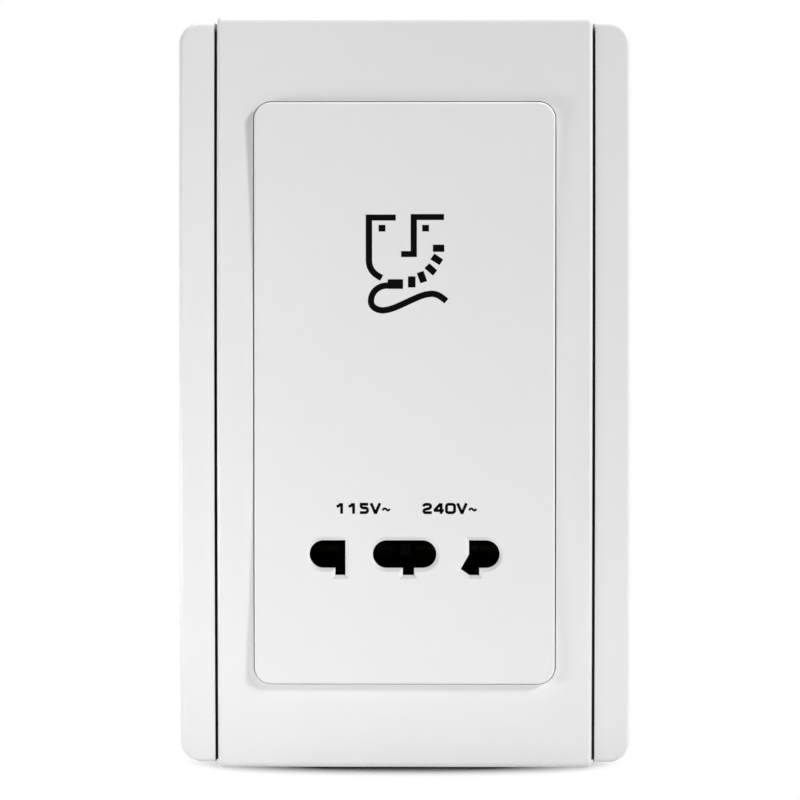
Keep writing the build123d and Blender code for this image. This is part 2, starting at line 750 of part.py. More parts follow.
# Return spring between the bridge and the cap.
spring_length = cap_front_y - bridge_back_y - 2 * (spring_wire_radius + thread_clearance)
with BuildPart() as slider_spring:
    with BuildLine():
        coil = Helix(
            pitch=spring_length / spring_turns,
            height=spring_length,
            radius=spring_radius,
            center=(0, bridge_back_y + spring_wire_radius + thread_clearance, pin_row_z),
            direction=(0, 1, 0),
        )
    with BuildSketch(Plane(origin=coil @ 0, z_dir=coil % 0)):
        RegularPolygon(spring_wire_radius, wire_sides)
    sweep(is_frenet=True)
finished["slider_spring"] = slider_spring.part

# Transformer core: E stack with its yoke below, and the I stack closing it above.
with BuildPart() as core_e_stack:
    with BuildSketch(seen_from_front(core_back_y)):
        with Locations((0, (core_bottom_z + window_top_z) / 2)):
            Rectangle(core_width, window_top_z - core_bottom_z)
        leg_gap = core_width / 2 - core_yoke - core_leg / 2
        window_x = core_leg / 2 + leg_gap / 2
        with Locations(*[(side * window_x, (window_bottom_z + window_top_z) / 2) for side in (-1, 1)]):
            Rectangle(leg_gap, window_top_z - window_bottom_z, mode=Mode.SUBTRACT)
        with Locations(*[(side * core_hole_x, core_hole_low_z) for side in (-1, 1)]):
            Circle(core_hole_radius, mode=Mode.SUBTRACT)
    extrude(amount=core_stack)
finished["core_e_stack"] = core_e_stack.part

with BuildPart() as core_i_stack:
    with BuildSketch(seen_from_front(core_back_y)):
        with Locations((0, (window_top_z + core_top_z) / 2)):
            Rectangle(core_width, core_yoke)
        with Locations(*[(side * core_hole_x, core_hole_high_z) for side in (-1, 1)]):
            Circle(core_hole_radius, mode=Mode.SUBTRACT)
    extrude(amount=core_stack)
finished["core_i_stack"] = core_i_stack.part

# Bobbin: a square tube over the middle leg, with a flange at each end and one between the windings.
with BuildPart() as transformer_bobbin:
    with BuildSketch(Plane.XY.offset(low_flange_z)):
        with Locations((0, core_centre_y)):
            Rectangle(2 * (bobbin_bore_x + bobbin_wall), 2 * (bobbin_bore_y + bobbin_wall))
    extrude(amount=high_flange_z + bobbin_flange - low_flange_z)
    for flange_z in (low_flange_z, mid_flange_z, high_flange_z):
        with BuildSketch(Plane.XY.offset(flange_z)):
            with Locations((0, core_centre_y)):
                RectangleRounded(2 * flange_outer_x, 2 * flange_outer_y, collar_wall)
        extrude(amount=bobbin_flange)
    with BuildSketch(Plane.XY.offset(low_flange_z)):
        with Locations((0, core_centre_y)):
            Rectangle(2 * bobbin_bore_x, 2 * bobbin_bore_y)
    extrude(amount=high_flange_z + bobbin_flange - low_flange_z, mode=Mode.SUBTRACT)
finished["transformer_bobbin"] = transformer_bobbin.part

# Windings: the primary below the middle flange and the secondary above it.
for name, flange_z in (("primary_winding", low_flange_z), ("secondary_winding", mid_flange_z)):
    winding_bottom_z = flange_z + bobbin_flange + winding_clearance
    winding_height = mid_flange_z - low_flange_z - bobbin_flange - 2 * winding_clearance
    with BuildPart() as winding:
        with BuildSketch(Plane.XY.offset(winding_bottom_z)):
            with Locations((0, core_centre_y)):
                RectangleRounded(2 * winding_outer_x, 2 * winding_outer_y, winding_depth / 2)
                Rectangle(2 * winding_inner_x, 2 * winding_inner_y, mode=Mode.SUBTRACT)
        extrude(amount=winding_height)
    finished[name] = winding.part

# Solder pins along the front edges of the two end flanges.
low_pin_z = low_flange_z + bobbin_flange / 2
high_pin_z = high_flange_z + bobbin_flange / 2
with BuildPart() as bobbin_pins:
    with BuildSketch(seen_from_front(flange_front_y)):
        with Locations((neutral_pin_x, low_pin_z), (pin_x, low_pin_z)):
            Circle(pin_radius)
        with Locations(*[(x, high_pin_z) for x in (-pin_x, 0, pin_x)]):
            Circle(pin_radius)
    extrude(amount=pin_reach)
finished["bobbin_pins"] = bobbin_pins.part

# Thermal cutout, strapped to the front of the primary.
with BuildPart() as thermal_cutout:
    with BuildSketch(seen_from_front(winding_front_y)):
        with Locations((cutout_x, (low_flange_z + bobbin_flange + mid_flange_z) / 2)):
            RectangleRounded(cutout_width, cutout_height, bobbin_flange)
    extrude(amount=cutout_thickness)
finished["thermal_cutout"] = thermal_cutout.part

# Four screws hold the core to the posts, three over plain washers and one over the earth tag.
with BuildPart() as transformer_washers:
    with BuildSketch(seen_from_front(core_front_y)):
        with Locations(*washer_points):
            Circle(washer_radius)
            Circle(screw_radius + through_clearance, mode=Mode.SUBTRACT)
    extrude(amount=washer_thickness)
finished["transformer_washers"] = transformer_washers.part

with BuildPart() as earth_tag:
    with BuildSketch(seen_from_front(core_front_y)):
        with Locations(earth_point):
            Circle(washer_radius)
        with Locations((earth_point[0], earth_point[1] - tag_tail_length / 2)):
            Rectangle(tag_tail_width, tag_tail_length)
        with Locations(earth_point):
            Circle(screw_radius + through_clearance, mode=Mode.SUBTRACT)
    extrude(amount=washer_thickness)
finished["earth_tag"] = earth_tag.part


def cross_recess(points):
    """The outline of a cross recess at each point, for the sketch that is open."""
    with Locations(*points):
        Rectangle(2 * recess_reach, recess_width)
        Rectangle(recess_width, 2 * recess_reach)


with BuildPart() as transformer_screws:
    with BuildSketch(seen_from_front(screw_seat_y)):
        with Locations(*core_points):
            Circle(screw_head_radius)
    extrude(amount=screw_head_height)
    chamfer(transformer_screws.faces().group_by(Axis.Y)[0].edges(), screw_head_height / 3)
    with BuildSketch(seen_from_front(core_back_y + post_thread_depth - seat_clearance)):
        with Locations(*core_points):
            Circle(screw_radius)
    extrude(amount=core_back_y + post_thread_depth - seat_clearance - screw_seat_y)
    with BuildSketch(seen_from_front(screw_seat_y - screw_head_height + recess_depth)):
        cross_recess(core_points)
    extrude(amount=recess_depth, mode=Mode.SUBTRACT)
finished["transformer_screws"] = transformer_screws.part

# Four screws from behind go through flange and frame into the fascia's bosses.
with BuildPart() as housing_screws:
    with BuildSketch(seen_from_front(flange_back_y)):
        with Locations(*assembly_points):
            Circle(screw_head_radius)
    extrude(amount=-screw_head_height)
    chamfer(housing_screws.faces().group_by(Axis.Y)[-1].edges(), screw_head_height / 3)
    with BuildSketch(seen_from_front(flange_back_y)):
        with Locations(*assembly_points):
            Circle(screw_radius)
    extrude(amount=flange_back_y - screw_end_y)
    with BuildSketch(seen_from_front(flange_back_y + screw_head_height)):
        cross_recess(assembly_points)
    extrude(amount=recess_depth, mode=Mode.SUBTRACT)
finished["housing_screws"] = housing_screws.part

# Two small screws hold the contact block's ears to the fascia.
block_points = [(-block_screw_x, pin_row_z), (block_screw_x, pin_row_z)]
with BuildPart() as block_screws:
    with BuildSketch(seen_from_front(frame_front_y)):
        with Locations(*block_points):
            Circle(block_screw_head_radius)
    extrude(amount=-block_screw_head_height)
    with BuildSketch(seen_from_front(frame_front_y)):
        with Locations(*block_points):
            Circle(block_screw_radius)
    extrude(amount=frame_front_y - screw_end_y)
    with BuildSketch(seen_from_front(frame_front_y + block_screw_head_height)):
        cross_recess(block_points)
    extrude(amount=recess_depth, mode=Mode.SUBTRACT)
finished["block_screws"] = block_screws.part

# Terminal block: three pockets open at the top, with a wire entry below and a screw entry behind.
with BuildPart() as terminal_block:
    with BuildSketch(Plane.XY.offset(housing_floor_z)):
        with Locations((0, (terminal_block_front_y + housing_inner_back_y) / 2)):
            Rectangle(2 * terminal_block_half_x, housing_inner_back_y - terminal_block_front_y)
    extrude(amount=terminal_block_top_z - housing_floor_z)
    with BuildSketch(Plane.XY.offset(terminal_bottom_z)):
        with Locations(*[(x, terminal_y) for x in terminal_xs]):
            Rectangle(terminal_size + 2 * terminal_clearance, terminal_size + 2 * terminal_clearance)
    extrude(amount=terminal_block_top_z - terminal_bottom_z, mode=Mode.SUBTRACT)
    with BuildSketch(Plane.XY.offset(housing_floor_z)):
        with Locations(*[(x, terminal_y) for x in terminal_xs]):
            Circle(tunnel_entry_radius)
    extrude(amount=terminal_bottom_z - housing_floor_z, mode=Mode.SUBTRACT)
    with BuildSketch(seen_from_front(housing_inner_back_y)):
        with Locations(*[(x, clamp_z) for x in terminal_xs]):
            Circle(clamp_access_radius)
    extrude(amount=housing_inner_back_y - terminal_back_y, mode=Mode.SUBTRACT)
    # Its lower back edge clears the slope inside the housing.
    low_back_edge = terminal_block.edges().filter_by(Axis.X).group_by(Axis.Y)[-1].sort_by(Axis.Z)[0]
    chamfer(low_back_edge, housing_chamfer - housing_wall / 2 + seat_clearance)
finished["terminal_block"] = terminal_block.part

# Brass terminals: a wire tunnel along Z, crossed by the clamp screw's hole.
for name, x in zip(("terminal_live", "terminal_earth", "terminal_neutral"), terminal_xs):
    with BuildPart() as terminal:
        with BuildSketch(Plane.XY.offset(terminal_bottom_z)):
            with Locations((x, terminal_y)):
                Rectangle(terminal_size, terminal_size)
                Circle(tunnel_radius, mode=Mode.SUBTRACT)
        extrude(amount=terminal_length)
        with BuildSketch(seen_from_front(terminal_back_y)):
            with Locations((x, clamp_z)):
                Circle(clamp_screw_radius + thread_clearance)
        extrude(amount=terminal_half, mode=Mode.SUBTRACT)
    finished[name] = terminal.part

clamp_points = [(x, clamp_z) for x in terminal_xs]
with BuildPart() as terminal_screws:
    with BuildSketch(seen_from_front(terminal_back_y + seat_clearance)):
        with Locations(*clamp_points):
            Circle(clamp_head_radius)
    extrude(amount=-clamp_head_height)
    clamp_end_y = terminal_y + tunnel_radius + terminal_clearance
    with BuildSketch(seen_from_front(terminal_back_y + seat_clearance)):
        with Locations(*clamp_points):
            Circle(clamp_screw_radius)
    extrude(amount=terminal_back_y + seat_clearance - clamp_end_y)
    with BuildSketch(seen_from_front(terminal_back_y + seat_clearance + clamp_head_height)):
        cross_recess(clamp_points)
    extrude(amount=recess_depth, mode=Mode.SUBTRACT)
finished["terminal_screws"] = terminal_screws.part

# Internal leads, each along its own route from one solder point to the next.
terminal_end_y = terminal_y - (terminal_half + tunnel_radius) / 2
terminal_end_z = terminal_top_z + solder_gap
strip_end_x = fixed_strip_outer_x - 3 * lead_radius
strip_end_y = fixed_strip_y + fixed_strip_thickness / 2
strip_end_z = pin_row_z + fixed_strip_height / 2 + solder_gap
tab_end_z = tab_top_z + solder_gap
low_pin_end_z = low_pin_z - pin_radius - solder_gap
high_pin_under_z = high_pin_z - pin_radius - solder_gap
high_pin_over_z = high_pin_z + pin_radius + solder_gap
pin_end_y = flange_front_y - pin_reach / 2
left_tab_x = -outer_contact_x + (outer_contact_width - contact_sheet) / 2
middle_tab_x = (centre_contact_width - contact_sheet) / 2
right_tab_x = outer_contact_x + (outer_contact_width - contact_sheet) / 2
tag_end_z = core_hole_low_z - tag_tail_length - solder_gap
tag_end_y = core_front_y - washer_thickness / 2
lead_routes = {
    "lead_live": [
        (-terminal_pitch, terminal_end_y, terminal_end_z),
        (-10.2, 26.1, -20.2),
        (-13.4, 16.0, -19.8),
        (-strip_end_x, strip_end_y, strip_end_z),
    ],
    "lead_switched": [
        (strip_end_x, strip_end_y, strip_end_z),
        (13.6, 15.6, -14.0),
        (11.9, 0.3, -13.6),
        (pin_x, pin_end_y, low_pin_end_z),
    ],
    "lead_neutral": [
        (terminal_pitch, terminal_end_y, terminal_end_z),
        (9.9, 26.2, -19.0),
        (-3.8, 0.2, -18.6),
        (neutral_pin_x, pin_end_y, low_pin_end_z),
    ],
    "lead_earth": [
        (0.0, terminal_end_y, terminal_end_z),
        (-0.2, 26.1, -17.2),
        (-22.3, 9.6, -16.9),
        (-core_hole_x, tag_end_y, tag_end_z),
    ],
    "lead_115": [
        (left_tab_x, contact_tab_y, tab_end_z),
        (-11.6, 2.8, -13.0),
        (-21.9, 3.1, -12.6),
        (-22.4, 3.4, 4.5),
        (-21.8, 2.8, 22.0),
        (-22.2, 3.0, 40.0),
        (-12.1, 0.2, 40.4),
        (-pin_x, pin_end_y, high_pin_over_z),
    ],
    "lead_240": [
        (right_tab_x, contact_tab_y, tab_end_z),
        (19.0, 2.8, -11.0),
        (22.0, 3.2, 5.0),
        (21.8, 2.8, 21.5),
        (22.3, 3.1, 40.2),
        (12.2, 0.2, 40.5),
        (pin_x, pin_end_y, high_pin_over_z),
    ],
    "lead_common": [
        (middle_tab_x, contact_tab_y, tab_end_z),
        (6.0, 2.6, -13.0),
        (4.4, -3.6, -3.0),
        (3.6, -3.4, 11.0),
        (0.3, -0.4, 20.0),
        (0.0, pin_end_y, high_pin_under_z),
    ],
}


def bend_radii(points):
    """The radius at each corner: 0.45 of the shorter run, divided by the tangent of half the turn."""
    corners = [Vector(*point) for point in points]
    radii = []
    for before, corner, after in zip(corners, corners[1:], corners[2:]):
        run_in = corner - before
        run_out = after - corner
        half_turn = radians(run_in.get_angle(run_out)) / 2
        radii.append(0.45 * min(run_in.length, run_out.length) / tan(half_turn))
    return radii


for name, points in lead_routes.items():
    radii = bend_radii(points)
    print(name, "bend radii", [round(radius, 1) for radius in radii])
    with BuildPart() as lead:
        with BuildLine() as route:
            FilletPolyline(*points, radius=radii)
        with BuildSketch(Plane(origin=route.line @ 0, z_dir=route.line % 0)):
            RegularPolygon(lead_radius, wire_sides)
        sweep()
    finished[name] = lead.part

os.makedirs("parts", exist_ok=True)
for name, part in finished.items():
    part.label = name
    export_step(part, f"parts/{name}.step")
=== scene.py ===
# %% [markdown]
# A twin-height shaver socket, seen straight from the front.
# The construction comes packed: every moulding, contact and screw is already in place, in metres,
# with X to the right, Z up and Y into the wall. This script gives each of them its finish, adds what
# is printed, wound or stacked, and sets up the studio. Nothing that arrives packed is moved. The first
# cell loads the pack and keeps its size.

# %% Load the imported model
import bmesh
import bpy
from math import cos, radians, sin
from mathutils import Matrix, Vector
from mathutils.geometry import interpolate_bezier


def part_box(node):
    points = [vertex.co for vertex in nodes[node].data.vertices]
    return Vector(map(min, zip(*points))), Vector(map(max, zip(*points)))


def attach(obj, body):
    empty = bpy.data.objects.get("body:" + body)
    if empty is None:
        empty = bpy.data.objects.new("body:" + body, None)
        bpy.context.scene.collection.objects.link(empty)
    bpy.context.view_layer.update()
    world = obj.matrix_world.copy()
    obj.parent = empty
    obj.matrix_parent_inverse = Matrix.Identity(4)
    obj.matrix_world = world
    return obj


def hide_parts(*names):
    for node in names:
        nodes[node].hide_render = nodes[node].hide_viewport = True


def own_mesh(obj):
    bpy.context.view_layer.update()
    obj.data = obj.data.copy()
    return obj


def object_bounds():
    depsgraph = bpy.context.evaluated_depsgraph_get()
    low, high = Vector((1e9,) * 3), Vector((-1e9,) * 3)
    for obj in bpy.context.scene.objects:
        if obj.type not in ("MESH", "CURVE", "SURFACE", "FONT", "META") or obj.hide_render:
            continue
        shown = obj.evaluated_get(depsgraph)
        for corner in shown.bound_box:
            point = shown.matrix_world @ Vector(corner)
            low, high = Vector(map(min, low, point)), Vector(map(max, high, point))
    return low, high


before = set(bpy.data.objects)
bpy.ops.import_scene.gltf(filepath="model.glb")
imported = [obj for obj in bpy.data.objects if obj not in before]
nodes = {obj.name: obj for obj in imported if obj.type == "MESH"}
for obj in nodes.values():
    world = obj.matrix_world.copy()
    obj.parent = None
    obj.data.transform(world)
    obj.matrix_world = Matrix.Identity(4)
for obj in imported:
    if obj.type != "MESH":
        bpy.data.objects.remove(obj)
packed_low, packed_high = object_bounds()
MM = 0.001


def corners(name):
    """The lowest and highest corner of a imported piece, as vectors in metres."""
    low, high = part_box(name)
    return Vector(low), Vector(high)


# %% [markdown]
# The camera. The photograph was taken from straight in front with a long lens: the plate is almost a
# rectangle, but it is 0.4 percent wider at the top than at the bottom and a little taller on the right,
# so the camera stood slightly above its middle and slightly to the right. The lens is worked out from
# the scale, which is how much of the fascia one pixel covers. A shorter lens from nearer would show
# more of the steps' inner sides than the photograph does.

# %% Camera
PHOTO_SIDE = 800
MM_PER_PIXEL = 0.19467
CAMERA_DISTANCE = 620 * MM
CAMERA_RISE = radians(1.6)
CAMERA_TURN = radians(0.7)
SENSOR = 36.0
NEAREST_SEEN = 10 * MM
fascia_front = corners("socket_fascia")[0].y
photo_middle = Vector((-0.89 * MM, fascia_front, -1.20 * MM))

camera_data = bpy.data.cameras.new("studio_camera")
camera_data.sensor_width = SENSOR
camera_data.lens = SENSOR * CAMERA_DISTANCE / (PHOTO_SIDE * MM_PER_PIXEL * MM)
camera_data.clip_start = NEAREST_SEEN
camera = bpy.data.objects.new("studio_camera", camera_data)
bpy.context.scene.collection.objects.link(camera)
towards_camera = Vector((sin(CAMERA_TURN), -cos(CAMERA_TURN), sin(CAMERA_RISE))).normalized()
camera.location = photo_middle + CAMERA_DISTANCE * towards_camera
camera.rotation_euler = towards_camera.to_track_quat("Z", "Y").to_euler()
bpy.context.scene.camera = camera
print("lens", round(camera_data.lens, 1), "mm at", round(CAMERA_DISTANCE, 2), "m")

# %% [markdown]
# Node maths. A material is a small sum: a colour times one plus some noise, or a roughness where a
# mask is. Written with nodes by hand that takes many lines, so an output gets a thin wrapper here
# whose plus, minus and times add the Math node. `1 - mask` works as well, because the reflected
# operators are there too.

# %% Sockets that can be added and multiplied


class Signal:
    """One output socket. Sums and products on it add Math nodes to its tree."""

    def __init__(self, tree, socket):
        self.tree = tree
        self.socket = socket

    def combine(self, operation, first, second):
        node = self.tree.nodes.new("ShaderNodeMath")
        node.operation = operation
        plug(self.tree, node.inputs[0], first)
        plug(self.tree, node.inputs[1], second)
        return Signal(self.tree, node.outputs[0])

    def __add__(self, other):
        return self.combine("ADD", self, other)

    def __radd__(self, other):
        return self.combine("ADD", other, self)

    def __sub__(self, other):
        return self.combine("SUBTRACT", self, other)

    def __rsub__(self, other):
        return self.combine("SUBTRACT", other, self)

    def __mul__(self, other):
        return self.combine("MULTIPLY", self, other)

    def __rmul__(self, other):
        return self.combine("MULTIPLY", other, self)


def plug(tree, target, value):
    """Puts a number, a colour or a link into an input socket. Several links go into a joining socket."""
    for one in value if isinstance(value, list) else [value]:
        if isinstance(one, Signal):
            tree.links.new(one.socket, target)
        elif one is not None:
            target.default_value = one


print("a Signal can be added, subtracted and multiplied")

# %% [markdown]
# Trees. Adding a node always takes the same steps: make it, choose its options, fill its inputs and pick
# one of its outputs. So one method does all four, and gets the type, the options and the inputs. The
# materials, the geometry trees and the world share it.

# %% A node tree under construction


class Graph:
    """A node tree under construction. Its one method adds any node and returns an output of it."""

    def __init__(self, tree):
        self.tree = tree

    def node(self, kind, settings=None, values=None, output=0):
        made = self.tree.nodes.new(kind)
        for setting, value in (settings or {}).items():
            setattr(made, setting, value)
        for socket, value in (values or {}).items():
            plug(self.tree, made.inputs[socket], value)
        return Signal(self.tree, made.outputs[output]) if made.outputs else None


print("a Graph adds nodes")

# %% [markdown]
# Grain. Moulded plastic, rolled brass and varnished steel differ in colour, but each has the same
# three things: a pattern that sits still on the object, a slight change of colour, and a bump that
# breaks up the light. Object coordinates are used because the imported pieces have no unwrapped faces,
# and because every piece here sits at the origin, so the pattern has its true size in metres.

# %% Helpers that all finishes share


class Finish(Graph):
    """A material under construction."""

    def __init__(self, name):
        self.material = bpy.data.materials.new(name)
        self.material.use_nodes = True
        super().__init__(self.material.node_tree)
        self.tree.nodes.clear()

    def place(self, stretch=(1.0, 1.0, 1.0)):
        """Object coordinates, squeezed along an axis where the grain runs long."""
        where = self.node("ShaderNodeTexCoord", output="Object")
        return self.node("ShaderNodeMapping", None, {"Vector": where, "Scale": stretch})

    def grain(self, where, size, detail=2.0, roughness=0.5):
        """Noise from 0 to 1 whose blotches are about this many metres wide."""
        values = {"Vector": where, "Scale": 1 / size, "Detail": detail, "Roughness": roughness}
        return self.node("ShaderNodeTexNoise", None, values, "Fac")

    def part(self, vector, axis):
        """One coordinate of a vector."""
        outputs = self.node("ShaderNodeSeparateXYZ", None, {0: vector}).socket.node.outputs
        return Signal(self.tree, outputs[axis])

    def ranged(self, value, low, high):
        """0 where value is under low, 1 where it is over high."""
        values = {"Value": value, "From Min": low, "From Max": high}
        return self.node("ShaderNodeMapRange", None, values)

    def tint(self, amount, low, high):
        """A colour between two others. Each is three numbers or another tint."""
        ends = [(*end, 1) if isinstance(end, tuple) else end for end in (low, high)]
        return self.node("ShaderNodeMix", {"data_type": "RGBA"}, {0: amount, 6: ends[0], 7: ends[1]}, 2)

    def bump(self, height, depth):
        """A normal that tilts as if the surface rose by this many metres where height is 1."""
        return self.node("ShaderNodeBump", None, {"Height": height, "Distance": depth})

    def close(self, values):
        """Ends the finish with the surface shader, and hands over the material."""
        surface = self.node("ShaderNodeBsdfPrincipled", None, values)
        self.node("ShaderNodeOutputMaterial", None, {"Surface": surface})
        return self.material


def dress(material, *names):
    """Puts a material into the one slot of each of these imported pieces."""
    for name in names:
        nodes[name].data.materials[0] = material
    print(material.name, "on", len(names))


print("a Finish makes a material, and dress puts it on packed pieces")

# %% [markdown]
# White urea-like mouldings. The cover, the frame and the fascia are the same cool white. The cover and
# the wings are glossy with a very faint orange peel, and the fascia is a little more matt, as in the
# photograph, where the cover's rounded edges shine and the fascia's face stays even. Three sizes of
# noise do it: wide clouds in the colour, a peel in the bump and a fine haze in the gloss. The peel is
# four thousandths of a millimetre deep: more would look like textured plastic.

# %% White mouldings
cover_low, cover_high = corners("cover_plate")
cover_front = cover_low.y
BOW_DROP = 2.0 * MM
bow_bend = BOW_DROP / cover_high.z**2
TRANSITION = 0.1 * MM
SHARP = 0.03 * MM
SOFT = 0.8 * MM
PLASTIC_INDEX = 1.49


def white_moulding(name, gloss, peel_depth, joint=None):
    """White plastic. A joint's faces, deeper than recess and up to the other limits, can get painted
    shade: a flat grey colour.
    """
    finish = Finish(name)
    where = finish.place()
    cloud = finish.grain(where, 22 * MM, 3.0)
    peel = finish.grain(where, 0.9 * MM, 1.5)
    haze = finish.grain(where, 0.12 * MM, 1.0)
    colour = finish.tint(cloud, (0.848, 0.850, 0.854), (0.876, 0.877, 0.880))
    if joint:
        level, along = finish.part(where, "Y"), finish.part(where, "Z")
        across = finish.node("ShaderNodeMath", {"operation": "ABSOLUTE"}, {0: finish.part(where, "X")})
        depth = level - (cover_front + joint["recess"]) - bow_bend * (along * along)
        deep = finish.ranged(depth, 0.0, TRANSITION)
        outside = finish.ranged(across, joint["inside"], joint["inside"] + SHARP)
        behind = finish.ranged(level, joint["until"], joint["until"] + SHARP)
        above = finish.ranged(along, joint["top"], joint["top"] + SOFT)
        below = finish.ranged(-1 * along, joint["bottom"], joint["bottom"] + SOFT)
        # painted shade: the mask of joint faces that lie in the gaps' shadow, turned grey below
        painted_shade = deep * (1 - outside) * (1 - behind) * (1 - above) * (1 - below)
        colour = finish.tint(painted_shade, colour, (joint["shade_grey"],) * 3)
    return finish.close(
        {
            "Base Color": colour,
            "Roughness": gloss + 0.06 * haze - 0.04 * cloud,
            "Normal": finish.bump(0.8 * peel + 0.2 * haze, peel_depth),
            "IOR": PLASTIC_INDEX,
        }
    )


print("the cover's bow drops", round(BOW_DROP / MM, 1), "mm at its ends")

# %% [markdown]
# Joints. The cover meets the frame in two long joints and the fascia in a thin one all round. Hardly
# any light comes back out of them in the photograph, and that shade is painted: faces under the cover's
# bow get a dark grey colour as painted shade, on the wings' inner walls, the channel's floor, the edge of
# the fascia and the walls of its openings. A imported piece has one material slot, so the material itself
# finds those faces by where they are. The bow is a shallow arc, so its depth grows with the square of the
# height. The back of the frame and the top ends of the long joints, where light falls in, stay white,
# which is why the painted shade has a limit in each direction.

# %% White finishes on the front mouldings
JOINT_WIDTH = 0.5 * MM
PLATE_DEPTH = 3.0 * MM
# the painted shade stops this far short of the top end of the long joints, where light falls in
OPEN_END = 1.6 * MM
# colour of the painted shade inside the joints
JOINT_SHADE_GREY = 0.06
frame_corner = corners("mounting_frame")[1]
wing_joint_shade = {
    "shade_grey": JOINT_SHADE_GREY,
    "recess": 0.4 * MM,
    "inside": cover_high.x + 1.1 * JOINT_WIDTH,
    "until": frame_corner.y - PLATE_DEPTH + SHARP,
    "top": frame_corner.z - OPEN_END,
    "bottom": frame_corner.z,
}
FASCIA_GAP = 0.22 * MM
past_gap = 1.2 * FASCIA_GAP
fascia_corner = corners("socket_fascia")[1]
window_joint_shade = {
    "shade_grey": JOINT_SHADE_GREY,
    "recess": 0.12 * MM,
    "inside": fascia_corner.x + past_gap,
    "until": fascia_corner.y,
    "top": fascia_corner.z + past_gap,
    "bottom": fascia_corner.z + past_gap,
}
cover_white = white_moulding("cover_white", 0.30, 0.004 * MM, window_joint_shade)
frame_white = white_moulding("frame_white", 0.30, 0.004 * MM, wing_joint_shade)
fascia_white = white_moulding("fascia_white", 0.40, 0.003 * MM, window_joint_shade)
dress(cover_white, "cover_plate")
dress(frame_white, "mounting_frame")
dress(fascia_white, "socket_fascia")

# %% [markdown]
# Moulded plastics behind the front. The housing is charcoal with a spark-eroded texture, which is what
# a mould looks like when nobody polishes it. The contact block, the switch parts and the terminal block
# are black and finer. The bobbin is natural nylon, slightly yellow, and the thermal cutout has a
# ceramic body. Each is the same recipe with other numbers: two colours, a roughness and a texture.

# %% Dark and natural plastics


def moulding(name, low, high, roughness, texture_size, texture_depth, shine=0.5):
    """Plastic between two colours, with a texture as deep and as wide as given."""
    finish = Finish(name)
    where = finish.place()
    cloud = finish.grain(where, 9 * MM, 3.0)
    texture = finish.grain(where, texture_size, 2.0)
    return finish.close(
        {
            "Base Color": finish.tint(cloud, low, high),
            "Roughness": roughness + 0.12 * texture - 0.06 * cloud,
            "Specular IOR Level": shine,
            "Normal": finish.bump(texture, texture_depth),
        }
    )


charcoal = moulding(
    "housing_charcoal", (0.030, 0.031, 0.034), (0.042, 0.043, 0.046), 0.52, 0.35 * MM, 0.02 * MM
)
black = moulding(
    "block_black", (0.003, 0.003, 0.003), (0.006, 0.006, 0.006), 0.55, 0.25 * MM, 0.006 * MM, shine=0.15
)
nylon = moulding("bobbin_nylon", (0.66, 0.62, 0.50), (0.74, 0.71, 0.60), 0.38, 0.8 * MM, 0.004 * MM)
ceramic = moulding("cutout_ceramic", (0.70, 0.66, 0.58), (0.80, 0.77, 0.70), 0.62, 0.15 * MM, 0.010 * MM)
dress(charcoal, "rear_housing")
dress(black, "contact_block", "contact_block_cover", "switch_slider", "switch_cap", "terminal_block")
dress(nylon, "transformer_bobbin")
dress(ceramic, "thermal_cutout")

# %% [markdown]
# Metals. Contact strip is rolled, so it carries fine lines along its length. The spring contacts are
# tarnished with age, and beyond that their colour is painted almost black as painted shade for the hollow
# behind the openings, so that nothing gleams there. The terminals are turned from bar and stay bright
# brass with soft brown patches. The screws are zinc-plated and bluish, and the spring is drawn wire, dark
# with oil. The scale along an axis stretches the lines that way.

# %% Brass, zinc and spring steel


def rolled_metal(name, clean, tarnished, roughness, along, line_depth, age):
    """Metal with fine lines along the axis that is squeezed, and tarnish in up to this share of it."""
    finish = Finish(name)
    lines = finish.grain(finish.place(along), 0.05 * MM, 2.0)
    patch = finish.grain(finish.place(), 2.2 * MM, 4.0, 0.65)
    tarnish = finish.ranged(patch, 0.62 - 0.4 * age, 0.78 - 0.3 * age)
    return finish.close(
        {
            "Base Color": finish.tint(tarnish, clean, tarnished),
            "Metallic": 1.0,
            "Roughness": roughness + 0.10 * lines + 0.18 * tarnish,
            "Normal": finish.bump(lines, line_depth),
        }
    )


EVEN = (1, 1, 1)
INWARDS = (1, 0.06, 1)
# painted shade: the contacts' near-black colour stands in for the shade behind the openings, on top of
# tarnish
contact_brass_tarnish_and_shade = rolled_metal(
    "contact_brass_aged", (0.045, 0.031, 0.014), (0.016, 0.012, 0.007), 0.40, INWARDS, 0.0015 * MM, 0.6
)
terminal_brass = rolled_metal(
    "terminal_brass", (0.80, 0.60, 0.27), (0.46, 0.31, 0.13), 0.26, (1, 1, 0.08), 0.002 * MM, 0.3
)
zinc = rolled_metal("zinc_plate", (0.66, 0.69, 0.72), (0.42, 0.45, 0.48), 0.28, EVEN, 0.001 * MM, 0.35)
spring_steel = rolled_metal(
    "spring_steel", (0.36, 0.36, 0.37), (0.16, 0.14, 0.12), 0.30, (1, 0.2, 1), 0.001 * MM, 0.4
)
dress(contact_brass_tarnish_and_shade, "contact_115", "contact_common", "contact_240")
dress(terminal_brass, "terminal_live", "terminal_earth", "terminal_neutral", "earth_tag", "bobbin_pins")
dress(terminal_brass, "bridge_contact", "fixed_contact_in", "fixed_contact_out")
dress(zinc, "housing_screws", "block_screws", "terminal_screws")
dress(zinc, "transformer_screws", "transformer_washers")

# %% [markdown]
# Geometry trees. A core is a stack of equal sheets, a coil is one turn many times, and a lead or a
# printed line is a profile that follows a path. Loops in Python could place all those points, but a
# tree says it in a few nodes. Each of them has named inputs and fixed seeds, so that a learner can
# change the number of turns or the width of a line.

# %% Recipes for what repeats or follows a path
MERGED = 0.0001 * MM


